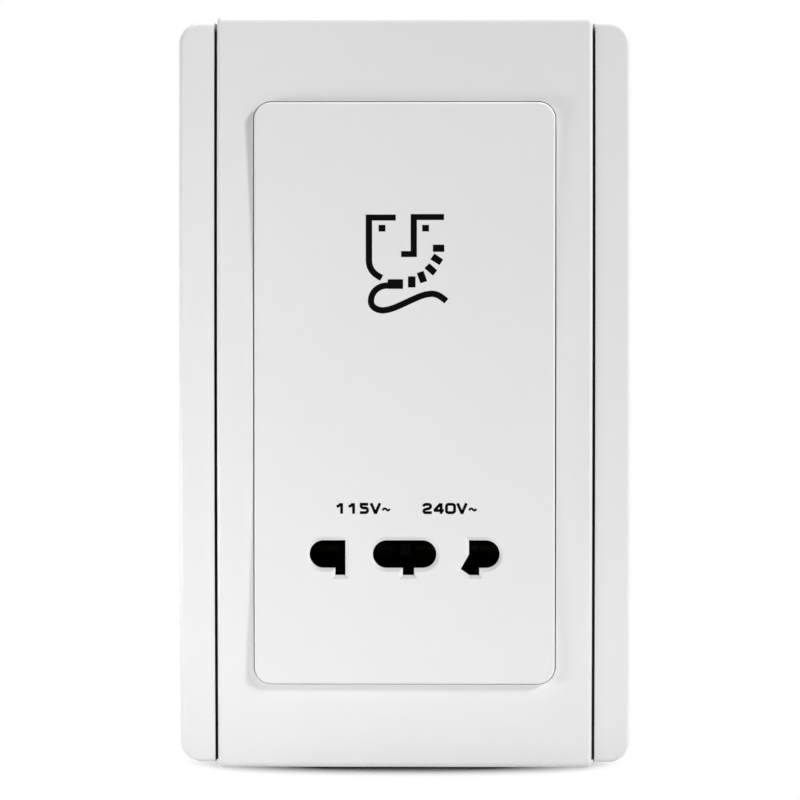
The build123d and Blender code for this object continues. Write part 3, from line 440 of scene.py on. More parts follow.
class Recipe(Graph):
    """A geometry tree with named inputs. Inputs are {name: (socket type, value)}."""

    def __init__(self, name, inputs):
        super().__init__(bpy.data.node_groups.new(name, "GeometryNodeTree"))
        sockets = self.tree.interface
        given = {"Geometry": ("Geometry", None), **inputs, "Finish": ("Material", None)}
        for label, (kind, value) in given.items():
            socket = sockets.new_socket(label, in_out="INPUT", socket_type="NodeSocket" + kind)
            if value is not None:
                socket.default_value = value
        sockets.new_socket("Geometry", in_out="OUTPUT", socket_type="NodeSocketGeometry")
        self.source = self.tree.nodes.new("NodeGroupInput")

    def given(self, label):
        """The value of a named input."""
        return Signal(self.tree, self.source.outputs[label])

    def vector(self, x=0.0, y=0.0, z=0.0):
        """A vector from three numbers or signals."""
        return self.node("ShaderNodeCombineXYZ", None, {0: x, 1: y, 2: z})

    def scatter(self, reach, seed):
        """A random vector for each point, up to this far along each axis."""
        values = {"Min": (-1, -1, -1), "Max": (1, 1, 1), "Seed": seed}
        chance = self.node("FunctionNodeRandomValue", {"data_type": "FLOAT_VECTOR"}, values)
        return self.node("ShaderNodeVectorMath", {"operation": "MULTIPLY"}, {0: chance, 1: reach})

    def row(self, piece, count, step, reach, seed):
        """Copies of a piece along a line, each a little out of place."""
        line = self.node("GeometryNodeMeshLine", {"mode": "OFFSET"}, {"Count": count, "Offset": step})
        loose = self.node("GeometryNodeSetPosition", None, {0: line, "Offset": self.scatter(reach, seed)})
        return self.node("GeometryNodeInstanceOnPoints", None, {"Points": loose, "Instance": piece})

    def thicken(self, flat, offset):
        """A closed body from a flat sheet of faces: the sheet turned over, and the sheet pushed out."""
        values = {"Mesh": flat, "Offset": offset, "Individual": False}
        pushed = self.node("GeometryNodeExtrudeMesh", None, values)
        back = self.node("GeometryNodeFlipFaces", None, {0: flat})
        both = self.node("GeometryNodeJoinGeometry", None, {0: [pushed, back]})
        return self.node("GeometryNodeMergeByDistance", None, {"Geometry": both, "Distance": MERGED})

    def finished(self, geometry, smooth=False):
        """Ends the tree with plain faces and their material."""
        plain = self.node("GeometryNodeRealizeInstances", None, {0: geometry})
        shading = {"Geometry": plain, "Shade Smooth": smooth}
        shaded = self.node("GeometryNodeSetShadeSmooth", None, shading)
        coating = {"Geometry": shaded, "Material": self.given("Finish")}
        painted = self.node("GeometryNodeSetMaterial", None, coating)
        self.node("NodeGroupOutput", None, {0: painted})


print("a Recipe lays rows, thickens sheets and paints what it made")

# %% [markdown]
# Pieces. A tree runs once, on a mesh that gives it points, a path or a sheet, or on an empty one. What
# comes out is kept as a plain mesh with no modifier, which every other program can read as well. The
# piece then rides on the body it belongs to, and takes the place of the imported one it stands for.

# %% From a recipe to a plain piece


def mesh_of(name, points, edges=(), faces=()):
    """A mesh from points in millimetres."""
    mesh = bpy.data.meshes.new(name)
    mesh.from_pydata([Vector(point) * MM for point in points], edges, faces)
    return mesh


def as_mesh(holder):
    """The plain mesh that an object shows, with its modifiers run. The object itself is removed."""
    evaluated = holder.evaluated_get(bpy.context.evaluated_depsgraph_get())
    mesh = bpy.data.meshes.new_from_object(evaluated)
    bpy.data.objects.remove(holder)
    return mesh


def make_piece(name, mesh, recipe, values, replaced=(), turned=None):
    """Runs a recipe on a mesh, keeps the result as a plain piece on the outlet, and tells its size."""
    source = bpy.data.objects.new(name + "_source", mesh)
    bpy.context.scene.collection.objects.link(source)
    modifier = source.modifiers.new("recipe", "NODES")
    modifier.node_group = recipe.tree
    for item in recipe.tree.interface.items_tree:
        if item.in_out == "INPUT" and item.name in values:
            modifier[item.identifier] = values[item.name]
    plain = as_mesh(source)
    plain.name = name
    if turned:
        plain.transform(turned)
    shell = bmesh.new()
    shell.from_mesh(plain)
    bmesh.ops.recalc_face_normals(shell, faces=shell.faces)
    shell.to_mesh(plain)
    shell.free()
    piece = bpy.data.objects.new(name, plain)
    bpy.context.scene.collection.objects.link(piece)
    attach(piece, "outlet")
    if replaced:
        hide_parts(*replaced)
    print(name, "has", sum(len(face.vertices) - 2 for face in plain.polygons), "triangles")
    return piece


print("make_piece is ready")

# %% [markdown]
# Core. The iron of a small transformer is stacked from stamped sheets half a millimetre thick, an E and
# an I in turn, varnished and screwed together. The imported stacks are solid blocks, so a merged copy of
# each is squashed to one sheet, and 33 of them stand in a row with a sliver of air between and a
# hundredth of a millimetre of play, which is what makes the edges of a real stack look like pages.

# %% Core sheets
SHEET_COUNT = 33
core_low, core_high = corners("core_e_stack")
sheet_pitch = (core_high.y - core_low.y) / SHEET_COUNT
SHEET_SHARE = 0.90
print("a sheet every", round(sheet_pitch / MM, 3), "mm")

silicon_steel = Finish("core_steel_varnished")
rolled = silicon_steel.grain(silicon_steel.place((1, 0.2, 1)), 0.12 * MM, 3.0)
heat = silicon_steel.grain(silicon_steel.place(), 6 * MM, 4.0, 0.6)
rust = silicon_steel.ranged(silicon_steel.grain(silicon_steel.place(), 1.3 * MM, 5.0, 0.7), 0.60, 0.72)
steel_tint = silicon_steel.tint(heat, (0.10, 0.105, 0.125), (0.22, 0.22, 0.23))
core_steel = silicon_steel.close(
    {
        "Base Color": silicon_steel.tint(0.6 * rust, steel_tint, (0.16, 0.075, 0.035)),
        "Metallic": 0.85,
        "Roughness": 0.40 + 0.15 * rolled + 0.2 * rust,
        "Coat Weight": 0.35 - 0.3 * rust,
        "Coat Roughness": 0.2,
        "Normal": silicon_steel.bump(rolled, 0.003 * MM),
    }
)

sheets = Recipe(
    "sheet_stack",
    {
        "Count": ("Int", SHEET_COUNT),
        "Pitch": ("Float", 0.5 * MM),
        "Play": ("Float", 0.01 * MM),
        "Seed": ("Int", 7),
    },
)
first, count, chance = (sheets.given(label) for label in ("Geometry", "Count", "Seed"))
sheet_play = sheets.vector(sheets.given("Play"), 0.0, sheets.given("Play"))
sheet_step = sheets.vector(y=sheets.given("Pitch"))
sheets.finished(sheets.row(first, count, sheet_step, sheet_play, chance))


def one_sheet(stack):
    """A merged copy of a packed stack, squashed to a single sheet at its front."""
    body = bmesh.new()
    body.from_mesh(nodes[stack].data)
    bmesh.ops.remove_doubles(body, verts=body.verts, dist=0.001 * MM)
    for vertex in body.verts:
        vertex.co.y = core_low.y + (vertex.co.y - core_low.y) * SHEET_SHARE / SHEET_COUNT
    sheet = bpy.data.meshes.new("one_sheet")
    body.to_mesh(sheet)
    body.free()
    return sheet


for stack, seed in (("core_e_stack", 7), ("core_i_stack", 8)):
    values = {"Count": SHEET_COUNT, "Pitch": sheet_pitch, "Seed": seed, "Finish": core_steel}
    make_piece(stack + "_sheets", one_sheet(stack), sheets, values, [stack])

# %% [markdown]
# Windings. Each coil is enamelled copper wire laid turn beside turn round the bobbin. The outermost
# layer is all that shows, so it is made of closed loops, one per turn, in a row along Z with a seeded
# play of two hundredths, and a plain ring of the same copper fills the layers below. A helix would be
# truer, but it looks the same from outside. The wire's enamel is a clear coat over copper.

# %% Enamelled copper
enamel = Finish("copper_enamelled")
wire_cloud = enamel.grain(enamel.place(), 3 * MM, 3.0)
wire_haze = enamel.grain(enamel.place(), 0.1 * MM, 1.0)
copper = enamel.close(
    {
        "Base Color": enamel.tint(wire_cloud, (0.52, 0.17, 0.06), (0.74, 0.31, 0.13)),
        "Metallic": 1.0,
        "Roughness": 0.22 + 0.12 * wire_haze,
        "Coat Weight": 0.8,
        "Coat Roughness": 0.12,
        "Normal": enamel.bump(wire_haze, 0.001 * MM),
    }
)
print(copper.name, "is ready")

# %% [markdown]
# The coil's tree. A rectangle with rounded corners is one turn's middle line. A circle swept along it
# gives the turn, and a row of turns gives the outer layer. The same line and the hole round the bobbin
# bound a flat face, which is pushed up to the coil's height for the layers below.

# %% One tree for both coils
coils = Recipe(
    "coil",
    {
        "Half Width": ("Float", 17 * MM),
        "Half Depth": ("Float", 16 * MM),
        "Corner": ("Float", 3.6 * MM),
        "Inner Half Width": ("Float", 10.25 * MM),
        "Inner Half Depth": ("Float", 9.65 * MM),
        "Height": ("Float", 11 * MM),
        "Wire": ("Float", 0.36 * MM),
        "Turns": ("Int", 30),
        "Play": ("Float", 0.02 * MM),
        "Seed": ("Int", 3),
    },
)


def rectangle(recipe, half_width, half_depth):
    """A rectangle round the origin, as a curve."""
    sides = {0: 2 * half_width, 1: 2 * half_depth}
    return recipe.node("GeometryNodeCurvePrimitiveQuadrilateral", None, sides)


def rounded(recipe, curve, radius, count):
    """The curve with its corners rounded by arcs of this many points."""
    values = {"Curve": curve, "Radius": radius, "Count": count, "Limit Radius": True}
    return recipe.node("GeometryNodeFilletCurve", {"mode": "POLY"}, values)


def circle(recipe, radius, points):
    """A round section with this many points."""
    values = {"Resolution": points, "Radius": radius}
    return recipe.node("GeometryNodeCurvePrimitiveCircle", None, values)


wire_half = 0.5 * coils.given("Wire")
loop_half_width = coils.given("Half Width") - wire_half - coils.given("Play")
loop_half_depth = coils.given("Half Depth") - wire_half - coils.given("Play")
loop_outline = rectangle(coils, loop_half_width, loop_half_depth)
loop = rounded(coils, loop_outline, coils.given("Corner") - wire_half, 5)
turn_values = {"Curve": loop, "Profile Curve": circle(coils, wire_half, 8)}
turn = coils.node("GeometryNodeCurveToMesh", None, turn_values)
coil_play = coils.vector(coils.given("Play"), coils.given("Play"), 0.0)
coil_step = coils.vector(z=coils.given("Wire"))
turns = coils.row(turn, coils.given("Turns"), coil_step, coil_play, coils.given("Seed"))
lift = {"Geometry": turns, "Translation": coils.vector(z=wire_half)}
lifted = coils.node("GeometryNodeTransform", None, lift)
hole = rectangle(coils, coils.given("Inner Half Width"), coils.given("Inner Half Depth"))
outlines = coils.node("GeometryNodeJoinGeometry", None, {0: [loop, hole]})
floor_faces = coils.node("GeometryNodeFillCurve", None, {"Curve": outlines})
core_ring = coils.thicken(floor_faces, coils.vector(z=coils.given("Height")))
coils.finished(coils.node("GeometryNodeJoinGeometry", None, {0: [lifted, core_ring]}), smooth=True)
print("the coil's tree has", len(coils.tree.nodes), "nodes")

# %% [markdown]
# Two coils. The primary is wound from thinner wire than the secondary, as in a transformer that takes
# 230 V and gives 115 V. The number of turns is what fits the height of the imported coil, and the wire is
# then widened by a hair so that the turns touch.

# %% Primary and secondary
WIRES = {"primary_winding": 0.27 * MM, "secondary_winding": 0.39 * MM}
for coil, wire in WIRES.items():
    low, high = corners(coil)
    half_width, half_depth, height = (high.x - low.x) / 2, (high.y - low.y) / 2, high.z - low.z
    turn_count = int(height / wire)
    values = {
        "Half Width": half_width,
        "Half Depth": half_depth,
        "Height": height,
        "Wire": height / turn_count,
        "Turns": turn_count,
        "Seed": turn_count,
        "Finish": copper,
    }
    middle = Matrix.Translation(((low.x + high.x) / 2, (low.y + high.y) / 2, low.z))
    empty = bpy.data.meshes.new(coil)
    make_piece(coil + "_turns", empty, coils, values, [coil], middle)
    print(turn_count, "turns of", round(height / turn_count / MM, 3), "mm wire")

# %% [markdown]
# Return spring. A small compression spring pushes the switch slider back when the plug comes out. It is
# wound from hard wire, with its end turns closer together than the middle ones so that it stands
# square. The tree draws a spiral, moves its points along the axis so that the pitch is small at both
# ends, and sweeps a circle along it. It is made at its length at rest; in use, when the slider goes in,
# the spring gets shorter by that travel.

# %% Return spring
SPRING_TURNS = 6
SPRING_WIRE = 0.5 * MM
spring_low, spring_high = corners("slider_spring")
spring_length = spring_high.y - spring_low.y
springs = Recipe(
    "compression_spring",
    {
        "Turns": ("Float", SPRING_TURNS),
        "Wire": ("Float", SPRING_WIRE),
        "Outer Radius": ("Float", 2.5 * MM),
        "Length": ("Float", 7 * MM),
    },
)
spring_wire_half = 0.5 * springs.given("Wire")
spring_radius = springs.given("Outer Radius") - spring_wire_half
spring_height = springs.given("Length") - springs.given("Wire")
spiral_values = {"Rotations": springs.given("Turns"), "Height": spring_height, "Resolution": 28}
spiral_values.update({"Start Radius": spring_radius, "End Radius": spring_radius})
spiral = springs.node("GeometryNodeCurveSpiral", None, spiral_values)
along = springs.node("GeometryNodeSplineParameter", output="Factor")
eased = springs.node("ShaderNodeMapRange", {"interpolation_type": "SMOOTHSTEP"}, {"Value": along})
shift = springs.vector(z=0.5 * (eased - along) * spring_height + spring_wire_half)
wound = springs.node("GeometryNodeSetPosition", None, {0: spiral, "Offset": shift})
spring_section = circle(springs, spring_wire_half, 10)
spring_values = {"Curve": wound, "Profile Curve": spring_section, "Fill Caps": True}
springs.finished(springs.node("GeometryNodeCurveToMesh", None, spring_values), smooth=True)

spring_middle = (spring_low.z + spring_high.z) / 2
spring_start = Matrix.Translation((0, spring_low.y, spring_middle))
into_wall = spring_start @ Matrix.Rotation(radians(-90), 4, "X")
outer_radius = (spring_high.x - spring_low.x) / 2
values = {"Outer Radius": outer_radius, "Length": spring_length, "Finish": spring_steel}
empty = bpy.data.meshes.new("spring")
return_spring = make_piece(
    "return_spring", empty, springs, values, ["slider_spring"], into_wall
)
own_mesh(return_spring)
print("the spring is", round(spring_length / MM, 2), "mm long at rest")

# %% [markdown]
# Leads. Each internal lead is a soft insulated wire that runs from one solder point to the next, with
# wide bends because it is pushed into place by hand. The colours tell the leads apart, and the earth
# lead is green with a yellow stripe that winds round it.

# %% Lead finishes


def insulation(name, colour, stripe=None):
    """Soft plastic sleeve, matt, with a faint pull from the extruder. A stripe winds round it."""
    finish = Finish(name)
    drawn = finish.grain(finish.place(), 0.5 * MM, 3.0)
    dull = tuple(0.8 * channel for channel in colour)
    shade = finish.tint(drawn, dull, colour)
    if stripe:
        bands = {"Vector": finish.place((1, 1, 0.35)), "Scale": 0.11 / MM}
        wave = finish.node("ShaderNodeTexWave", {"bands_direction": "DIAGONAL"}, bands, "Fac")
        shade = finish.tint(finish.ranged(wave, 0.62, 0.66), shade, stripe)
    return finish.close(
        {
            "Base Color": shade,
            "Roughness": 0.44 + 0.1 * drawn,
            "Normal": finish.bump(drawn, 0.004 * MM),
        }
    )


brown = insulation("lead_brown", (0.15, 0.055, 0.025))
blue = insulation("lead_blue", (0.02, 0.10, 0.42))
green = insulation("lead_green_yellow", (0.03, 0.30, 0.06), (0.80, 0.62, 0.03))
pale = insulation("lead_white", (0.74, 0.73, 0.70))
red = insulation("lead_red", (0.50, 0.02, 0.015))
print("five sleeves: brown, blue, green and yellow, white and red")

# %% [markdown]
# Routes. Each lead has a colour, a slot name from the imported part, and the points that its
# line is drawn towards, in millimetres. The first and the last point are its solder points. The routes
# keep clear of the transformer, along the walls of the housing.

# %% Routes of the leads
LEADS = {
    "lead_live": (
        brown,
        "lead_brown",
        [(-10, 26.2, -34.95), (-10.2, 26.1, -20.2), (-13.4, 16, -19.8), (-13.4, 16, -29.75)],
    ),
    "lead_switched": (
        brown,
        "lead_brown",
        [(13.4, 16, -29.75), (13.6, 15.6, -14), (11.9, 0.3, -13.6), (12, -1.25, 4.3)],
    ),
    "lead_neutral": (
        blue,
        "lead_blue",
        [(10, 26.2, -34.95), (9.9, 26.2, -19), (-3.8, 0.2, -18.6), (-4, -1.25, 4.3)],
    ),
    "lead_earth": (
        green,
        "lead_green",
        [(0, 26.2, -34.95), (-0.2, 26.1, -17.2), (-22.3, 9.6, -16.9), (-22.5, 9.2, -7.05)],
    ),
    "lead_115": (
        pale,
        "lead_white",
        [(-11.45, 3, -22.95), (-11.6, 2.8, -13), (-21.9, 3.1, -12.6), (-22.4, 3.4, 4.5)]
        + [(-21.8, 2.8, 22), (-22.2, 3, 40), (-12.1, 0.2, 40.4), (-12, -1.25, 30.7)],
    ),
    "lead_240": (
        red,
        "lead_red",
        [(18.55, 3, -22.95), (19, 2.8, -11), (22, 3.2, 5), (21.8, 2.8, 21.5)]
        + [(22.3, 3.1, 40.2), (12.2, 0.2, 40.5), (12, -1.25, 30.7)],
    ),
    "lead_common": (
        blue,
        "lead_blue",
        [(6.25, 3, -22.95), (6, 2.6, -13), (4.4, -3.6, -3)]
        + [(3.6, -3.4, 11), (0.3, -0.4, 20), (0, -1.25, 29.8)],
    ),
}
print(len(LEADS), "leads with", sum(len(points) for _, _, points in LEADS.values()), "points")

# %% [markdown]
# Sleeves. A soft wire has no sharp bend anywhere, so its line is a smooth spline. It passes through the
# first and the last point only, and bends towards the others without touching them. The tree sweeps a
# circle along that line and closes both ends. The length is measured along the finished line.

# %% Sleeves on smooth lines
LEAD_RADIUS = 0.7 * MM


def smooth_line(name, points):
    """A mesh of points and runs, read from the spline with these control points."""
    curve = bpy.data.curves.new(name, "CURVE")
    curve.dimensions = "3D"
    spline = curve.splines.new("NURBS")
    spline.points.add(len(points) - 1)
    for control, point in zip(spline.points, points):
        control.co = (*(Vector(point) * MM), 1)
    spline.order_u = 3
    spline.use_endpoint_u = True
    holder = bpy.data.objects.new(name, curve)
    bpy.context.scene.collection.objects.link(holder)
    return as_mesh(holder)


wires = Recipe("lead", {"Radius": ("Float", LEAD_RADIUS)})
path = wires.node("GeometryNodeMeshToCurve", None, {0: wires.given("Geometry")})
sleeve_section = circle(wires, wires.given("Radius"), 12)
sleeve_values = {"Curve": path, "Profile Curve": sleeve_section, "Fill Caps": True}
wires.finished(wires.node("GeometryNodeCurveToMesh", None, sleeve_values), smooth=True)
for lead, (finish, lead_slot, points) in LEADS.items():
    line = smooth_line(lead + "_line", points)
    spots = [vertex.co for vertex in line.vertices]
    length = sum((spots[run.vertices[0]] - spots[run.vertices[1]]).length for run in line.edges)
    values = {"Radius": LEAD_RADIUS, "Finish": finish}
    make_piece(lead + "_sleeve", line, wires, values, [lead])
    print(lead, "is", round(length / MM), "mm long")

# %% [markdown]
# Solder. Each end of a lead is held by a small blob of solder on its tab or pin. No two are alike, so
# the tree puts a ball on every lead end and pushes it out of round by noise. It is painted with dull tin.

# %% Solder blobs
tin = rolled_metal("solder_tin", (0.62, 0.62, 0.60), (0.36, 0.35, 0.33), 0.30, EVEN, 0.002 * MM, 0.3)
solder = Recipe("solder", {"Size": ("Float", 1.0 * MM), "Unevenness": ("Float", 0.25 * MM)})
LUMP_SIZE = 1.4 * MM
ball_values = {"Radius": solder.given("Size"), "Subdivisions": 3}
ball = solder.node("GeometryNodeMeshIcoSphere", None, ball_values)
blob_values = {"Points": solder.given("Geometry"), "Instance": ball}
blobs = solder.node("GeometryNodeInstanceOnPoints", None, blob_values)
whole = solder.node("GeometryNodeRealizeInstances", None, {0: blobs})
swell = solder.node("ShaderNodeTexNoise", None, {"Scale": 1 / LUMP_SIZE, "Detail": 1.0}, "Fac")
rise = (swell - 0.6) * solder.given("Unevenness")
normal = solder.node("GeometryNodeInputNormal")
outward = solder.node("ShaderNodeVectorMath", {"operation": "SCALE"}, {0: normal, "Scale": rise})
solder.finished(solder.node("GeometryNodeSetPosition", None, {0: whole, "Offset": outward}), smooth=True)
lead_ends = [points[end] for _, _, points in LEADS.values() for end in (0, -1)]
blob_inputs = {"Size": 0.95 * MM, "Finish": tin}
make_piece("solder_blobs", mesh_of("lead_ends", lead_ends), solder, blob_inputs)

# %% [markdown]
# Print. The two voltages and the shaver sign are pad-printed in black on the fascia. Every stroke is a
# path in the plane of the face: the tree rounds its bends, sweeps a short line along it, which gives a
# flat ribbon, and thickens that to a hundredth of a millimetre. Real pad print is thinner still, but
# this much keeps the ink clear of the face under it.

# %% Ink and the stroke recipe
ink_finish = Finish("pad_print_black")
speckle = ink_finish.grain(ink_finish.place(), 0.08 * MM, 2.0)
ink_black = ink_finish.close(
    {
        "Base Color": ink_finish.tint(speckle, (0.001, 0.001, 0.001), (0.004, 0.004, 0.004)),
        "Roughness": 0.55 + 0.2 * speckle,
        "Specular IOR Level": 0.03,
        "Normal": ink_finish.bump(speckle, 0.001 * MM),
    }
)
INK_SUNK = 0.004 * MM
INK_THICKNESS = 0.016 * MM
strokes = Recipe(
    "printed_stroke",
    {
        "Stroke Width": ("Float", 0.44 * MM),
        "Bend Radius": ("Float", 0.3 * MM),
        "Ink Thickness": ("Float", INK_THICKNESS),
    },
)
drawn_line = strokes.node("GeometryNodeMeshToCurve", None, {0: strokes.given("Geometry")})
soft_line = rounded(strokes, drawn_line, strokes.given("Bend Radius"), 6)
nib_half = 0.5 * strokes.given("Stroke Width")
nib_values = {"Start": strokes.vector(x=-1 * nib_half), "End": strokes.vector(x=nib_half)}
nib = strokes.node("GeometryNodeCurvePrimitiveLine", None, nib_values)
ribbon = strokes.node("GeometryNodeCurveToMesh", None, {"Curve": soft_line, "Profile Curve": nib})
strokes.finished(strokes.thicken(ribbon, strokes.vector(z=strokes.given("Ink Thickness"))))
face_plane = Matrix.Translation((0, fascia_front + INK_SUNK, 0))
onto_face = face_plane @ Matrix.Rotation(radians(90), 4, "X")


def path_mesh(name, paths):
    """One mesh with all paths. A path whose last point is its first one is closed."""
    points, runs = [], []
    for path in paths:
        closed = path[0] == path[-1]
        own = path[:-1] if closed else path
        start = len(points)
        points += [(x, z, 0) for x, z in own]
        runs += [(start + index, start + index + 1) for index in range(len(own) - 1)]
        if closed:
            runs.append((start + len(own) - 1, start))
    return mesh_of(name, points, runs)


print("the ink stands", round((INK_THICKNESS - INK_SUNK) / MM, 3), "mm proud of the face")

# %% [markdown]
# Digits. The voltages are set in a plain wide sans serif two millimetres high. A text object would need
# a font file with the same shapes, so a digit is a list of strokes along the middle of its lines, in
# millimetres from its lower left corner, and the same few numbers serve both labels. The tilde after
# the V is thinner and has its own width.

# %% Voltages
GLYPHS = {
    "1": [[(1.06, 0.0), (1.06, 2.07)], [(0.10, 1.36), (0.62, 1.62), (0.95, 1.97)]],
    "2": [
        [(0.22, 1.40), (0.22, 1.85), (1.56, 1.85), (1.56, 1.14)]
        + [(0.24, 0.78), (0.24, 0.22), (1.80, 0.22)]
    ],
    "4": [[(1.48, 0.0), (1.48, 2.07)], [(1.42, 1.98), (0.22, 0.72)], [(0.02, 0.64), (2.0, 0.64)]],
    "5": [
        [(1.72, 1.85), (0.10, 1.85)],
        [(0.36, 1.85), (0.30, 1.14), (1.60, 1.14), (1.60, 0.22), (0.10, 0.22)],
    ],
    "0": [[(0.22, 0.22), (1.81, 0.22), (1.81, 1.85), (0.22, 1.85), (0.22, 0.22)]],
    "V": [[(0.20, 2.07), (1.10, 0.0)], [(1.04, 0.0), (1.94, 2.07)]],
}
LABELS = [
    ("115V", -13.33, (0.0, 2.33, 4.52, 6.59)),
    ("240V", 3.52, (0.0, 2.13, 4.42, 6.59)),
]
LABEL_BOTTOM = -23.38
TILDE = [(0.05, 0.66), (0.28, 1.02), (0.62, 1.02), (0.95, 0.66), (1.24, 0.66), (1.42, 0.98)]
TILDE_AT = 9.01
voltage_paths, tilde_paths = [], []
for text, left, starts in LABELS:
    for sign, start in zip(text, starts):
        for stroke in GLYPHS[sign]:
            voltage_paths.append([(left + start + x, LABEL_BOTTOM + z) for x, z in stroke])
    tilde_paths.append([(left + TILDE_AT + x, LABEL_BOTTOM + z) for x, z in TILDE])
ink = {"Ink Thickness": INK_THICKNESS, "Finish": ink_black}
digit_values = {"Stroke Width": 0.56 * MM, "Bend Radius": 0.42 * MM, **ink}
tilde_values = {"Stroke Width": 0.42 * MM, "Bend Radius": 0.30 * MM, **ink}
make_piece("voltage_digits", path_mesh("digits", voltage_paths), strokes, digit_values, turned=onto_face)
make_piece("voltage_tildes", path_mesh("tildes", tilde_paths), strokes, tilde_values, turned=onto_face)

# %% [markdown]
# Shaver sign. The standard sign for a shaver outlet is a face in profile with a shaver under the chin,
# whose cord swings away below. It is drawn from bars, from a ring of short dashes for the cheek, and
# from two curved lines. This cell makes the two lines, from points along Bezier arcs.

# %% Curved lines of the sign


def arc(start, start_handle, end_handle, end, count=9):
    """Points along a Bezier arc in the plane of the face."""
    knots = [Vector(point) for point in (start, start_handle, end_handle, end)]
    return [(point.x, point.y) for point in interpolate_bezier(*knots, count)]


head_line = [(-6.93, 33.80)] + arc((-6.93, 25.96), (-6.93, 24.2), (-5.9, 23.25), (-4.45, 22.54))
cord_line = (
    arc((-3.21, 21.09), (-5.3, 21.09), (-6.54, 19.7), (-6.54, 18.02))
    + arc((-6.54, 18.02), (-6.54, 16.9), (-5.4, 16.24), (-4.21, 16.24))[1:]
    + arc((-4.21, 16.24), (-1.6, 16.24), (2.6, 19.48), (5.21, 19.48))[1:]
    + arc((5.21, 19.48), (6.5, 19.48), (7.2, 18.8), (8.13, 18.04))[1:]
)
for name, line, width in (("head_line", head_line, 1.24), ("cord_line", cord_line, 1.22)):
    values = {"Stroke Width": width * MM, "Bend Radius": 0.0, **ink}
    make_piece("sign_" + name, path_mesh(name, [line]), strokes, values, turned=onto_face)

# %% [markdown]
# Bars and dashes. A bar is given by its left, low, right and high edge, and a dash by its four corners,
# all in millimetres on the face. They become the faces of one flat mesh, turned so that all of them
# look the same way, and the tree gives them the thickness of the ink.

# %% Bars and dashes of the sign
BARS = [
    (-7.55, 33.70, -1.71, 34.86),
    (-5.05, 31.57, -3.72, 32.85),
    (3.42, 31.57, 4.75, 32.85),
    (1.18, 33.79, 7.67, 34.95),
    (1.18, 27.66, 2.39, 33.89),
    (-0.68, 26.60, 2.39, 27.76),
    (5.50, 27.61, 7.72, 29.01),
    (0.66, 20.70, 2.13, 22.85),
    (-3.28, 20.42, -0.30, 22.29),
]
DASHES = [
    [(5.80, 27.28), (7.50, 26.13), (6.80, 25.03), (5.00, 26.15)],
    [(4.82, 25.39), (6.35, 24.02), (5.52, 22.99), (3.85, 24.44)],
    [(2.38, 23.48), (3.68, 23.93), (4.38, 21.93), (3.08, 21.51)],
]
outlines = [
    [(left, low), (right, low), (right, high), (left, high)] for left, low, right, high in BARS
] + DASHES
patches = Recipe("printed_patch", {"Ink Thickness": ("Float", INK_THICKNESS)})
ink_depth = patches.vector(z=patches.given("Ink Thickness"))
patches.finished(patches.thicken(patches.given("Geometry"), ink_depth))
patch_points = [(x, z, 0) for outline in outlines for x, z in outline]
patch_faces = [tuple(range(4 * index, 4 * index + 4)) for index in range(len(outlines))]
patch_mesh = mesh_of("sign_patches", patch_points, (), patch_faces)
up = bmesh.new()
up.from_mesh(patch_mesh)
for face in up.faces:
    face.normal_update()
    if face.normal.z < 0:
        face.normal_flip()
up.to_mesh(patch_mesh)
up.free()
make_piece("sign_bars", patch_mesh, patches, ink, turned=onto_face)

# %% [markdown]
# Floor. The outlet stands on white paper, which throws light back up, so the plate gets lighter
# downwards. Away from the object the paper turns into plain white for the camera. It could be bent up
# into a backdrop instead, but then its shading would show. Near the object the shadow stays, and the
# thin dark line under the cover is a painted shadow: for the camera, the paper turns almost black there,
# where a point of the floor sees little of the sky.

# %% Floor
FLOOR_SIDE = 6.0
FLOOR_WHITE = (0.93, 0.93, 0.93)
# colour of the painted shadow line under the cover
PAINTED_SHADOW_BLACK = (0.01, 0.01, 0.01)
floor_height = packed_low.z
half = FLOOR_SIDE / 2
floor_mesh = bpy.data.meshes.new("studio_floor")
floor_corners = [(-half, -half), (half, -half), (half, half), (-half, half)]
floor_mesh.from_pydata([(x, y, floor_height) for x, y in floor_corners], [], [(0, 1, 2, 3)])
floor = bpy.data.objects.new("studio_floor", floor_mesh)
bpy.context.scene.collection.objects.link(floor)
paper = Finish("studio_paper")
rays = paper.node("ShaderNodeLightPath").socket.node.outputs
sight = Signal(paper.tree, rays["Is Camera Ray"]) + Signal(paper.tree, rays["Is Glossy Ray"])
sight = sight + Signal(paper.tree, rays["Is Transmission Ray"])
where = paper.place()
oval = {0: paper.place((1, 2, 1))}
reach = paper.node("ShaderNodeVectorMath", {"operation": "LENGTH"}, oval, "Value")
far = paper.ranged(reach, 77 * MM, 85.5 * MM)
across = paper.node("ShaderNodeMath", {"operation": "ABSOLUTE"}, {0: paper.part(where, "X")})
under_cover = 1 - paper.ranged(across, 35 * MM, 39 * MM)
open_air = paper.node("ShaderNodeAmbientOcclusion", {"samples": 16}, {"Distance": 14 * MM}, "AO")
shut_in = 1 - paper.ranged(open_air, 0.5, 0.95)
# painted shadow: for the camera, the paper turns almost black under the cover where it sees little sky
painted_contact_shadow = Signal(paper.tree, rays["Is Camera Ray"]) * under_cover * shut_in
lit = paper.node("ShaderNodeBsdfDiffuse", None, {0: paper.tint(painted_contact_shadow, FLOOR_WHITE, PAINTED_SHADOW_BLACK)})
white = paper.node("ShaderNodeEmission", None, {"Color": (1, 1, 1, 1), "Strength": 1.0})
both = paper.node("ShaderNodeMixShader", None, {0: far * sight, 1: lit, 2: white})
paper.node("ShaderNodeOutputMaterial", None, {"Surface": both})
floor_mesh.materials.append(paper.material)
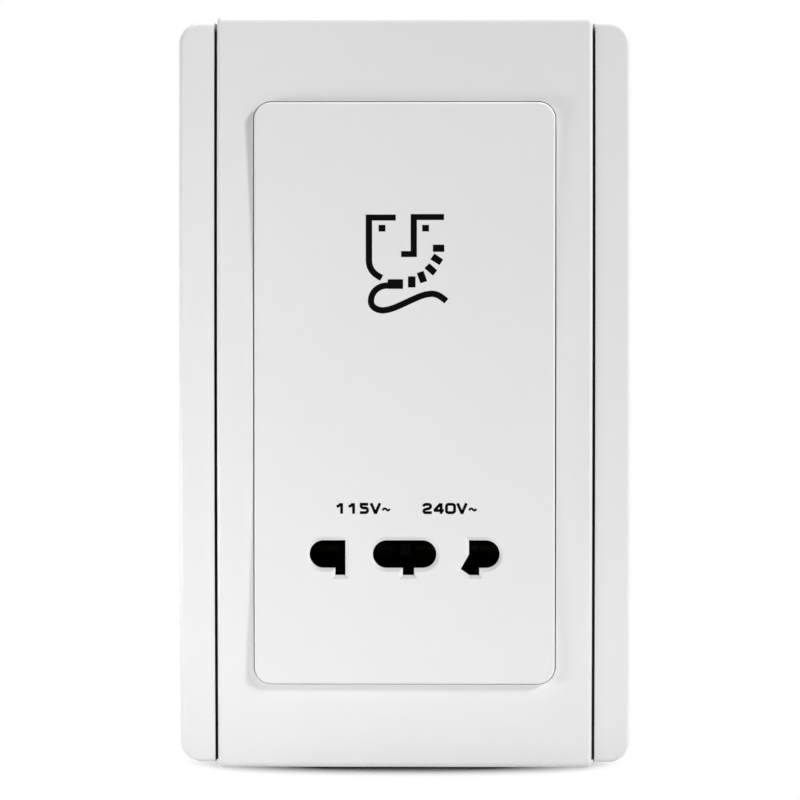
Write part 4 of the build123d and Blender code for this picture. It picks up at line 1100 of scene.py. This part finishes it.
print("floor at", round(floor_height / MM, 2), "mm")

# %% [markdown]
# World. The camera and mirror-like surfaces see plain white behind the object, but the light that the
# world itself gives is faint. Strong light from all sides would wash out the shading of white plastic.

# %% World
WORLD_LEVEL = 0.02
world = bpy.data.worlds.new("studio_world")
bpy.context.scene.world = world
world.use_nodes = True
sky = Graph(world.node_tree)
sky.tree.nodes.clear()
rays = sky.node("ShaderNodeLightPath").socket.node.outputs
seen = Signal(sky.tree, rays["Is Camera Ray"]) + Signal(sky.tree, rays["Is Glossy Ray"])
seen = seen + Signal(sky.tree, rays["Is Transmission Ray"])
level = WORLD_LEVEL + (1 - WORLD_LEVEL) * seen
backdrop = sky.node("ShaderNodeBackground", None, {"Color": (1, 1, 1, 1), "Strength": level})
sky.node("ShaderNodeOutputWorld", None, {"Surface": backdrop})
print("world light", WORLD_LEVEL)

# %% [markdown]
# Lamps. White on white only reads through soft shading. A broad light high on the right leaves the left
# flank of every step in shade, and a near one low on the left lifts that side of the plate. A long one
# overhead, a little behind the face, gives the top edges their rim of light, and a faint strip low in
# front keeps the lower end of the bowed cover as light as in the photograph. All of them are aimed at
# the origin.

# %% Lamps
LAMPS = {
    "key_right": {"at": (1.30, -0.85, 0.90), "size": (0.36, 0.36), "watts": 22.2},
    "fill_left": {"at": (-0.24, -0.10, -0.05), "size": (0.08, 0.08), "watts": 0.335},
    "overhead": {"at": (0.0, 0.03, 0.50), "size": (0.60, 0.06), "watts": 1.8},
    "low_front": {"at": (0.0, -0.09, -0.068), "size": (0.16, 0.006), "watts": 0.006},
}
for name, lamp in LAMPS.items():
    light = bpy.data.lights.new(name, "AREA")
    light.shape = "RECTANGLE"
    light.size, light.size_y = lamp["size"]
    light.energy = lamp["watts"]
    light_object = bpy.data.objects.new(name, light)
    light_object.location = lamp["at"]
    light_object.rotation_euler = Vector(lamp["at"]).to_track_quat("Z", "Y").to_euler()
    bpy.context.scene.collection.objects.link(light_object)
bpy.context.scene.view_settings.view_transform = "Standard"
print(len(LAMPS), "lamps")
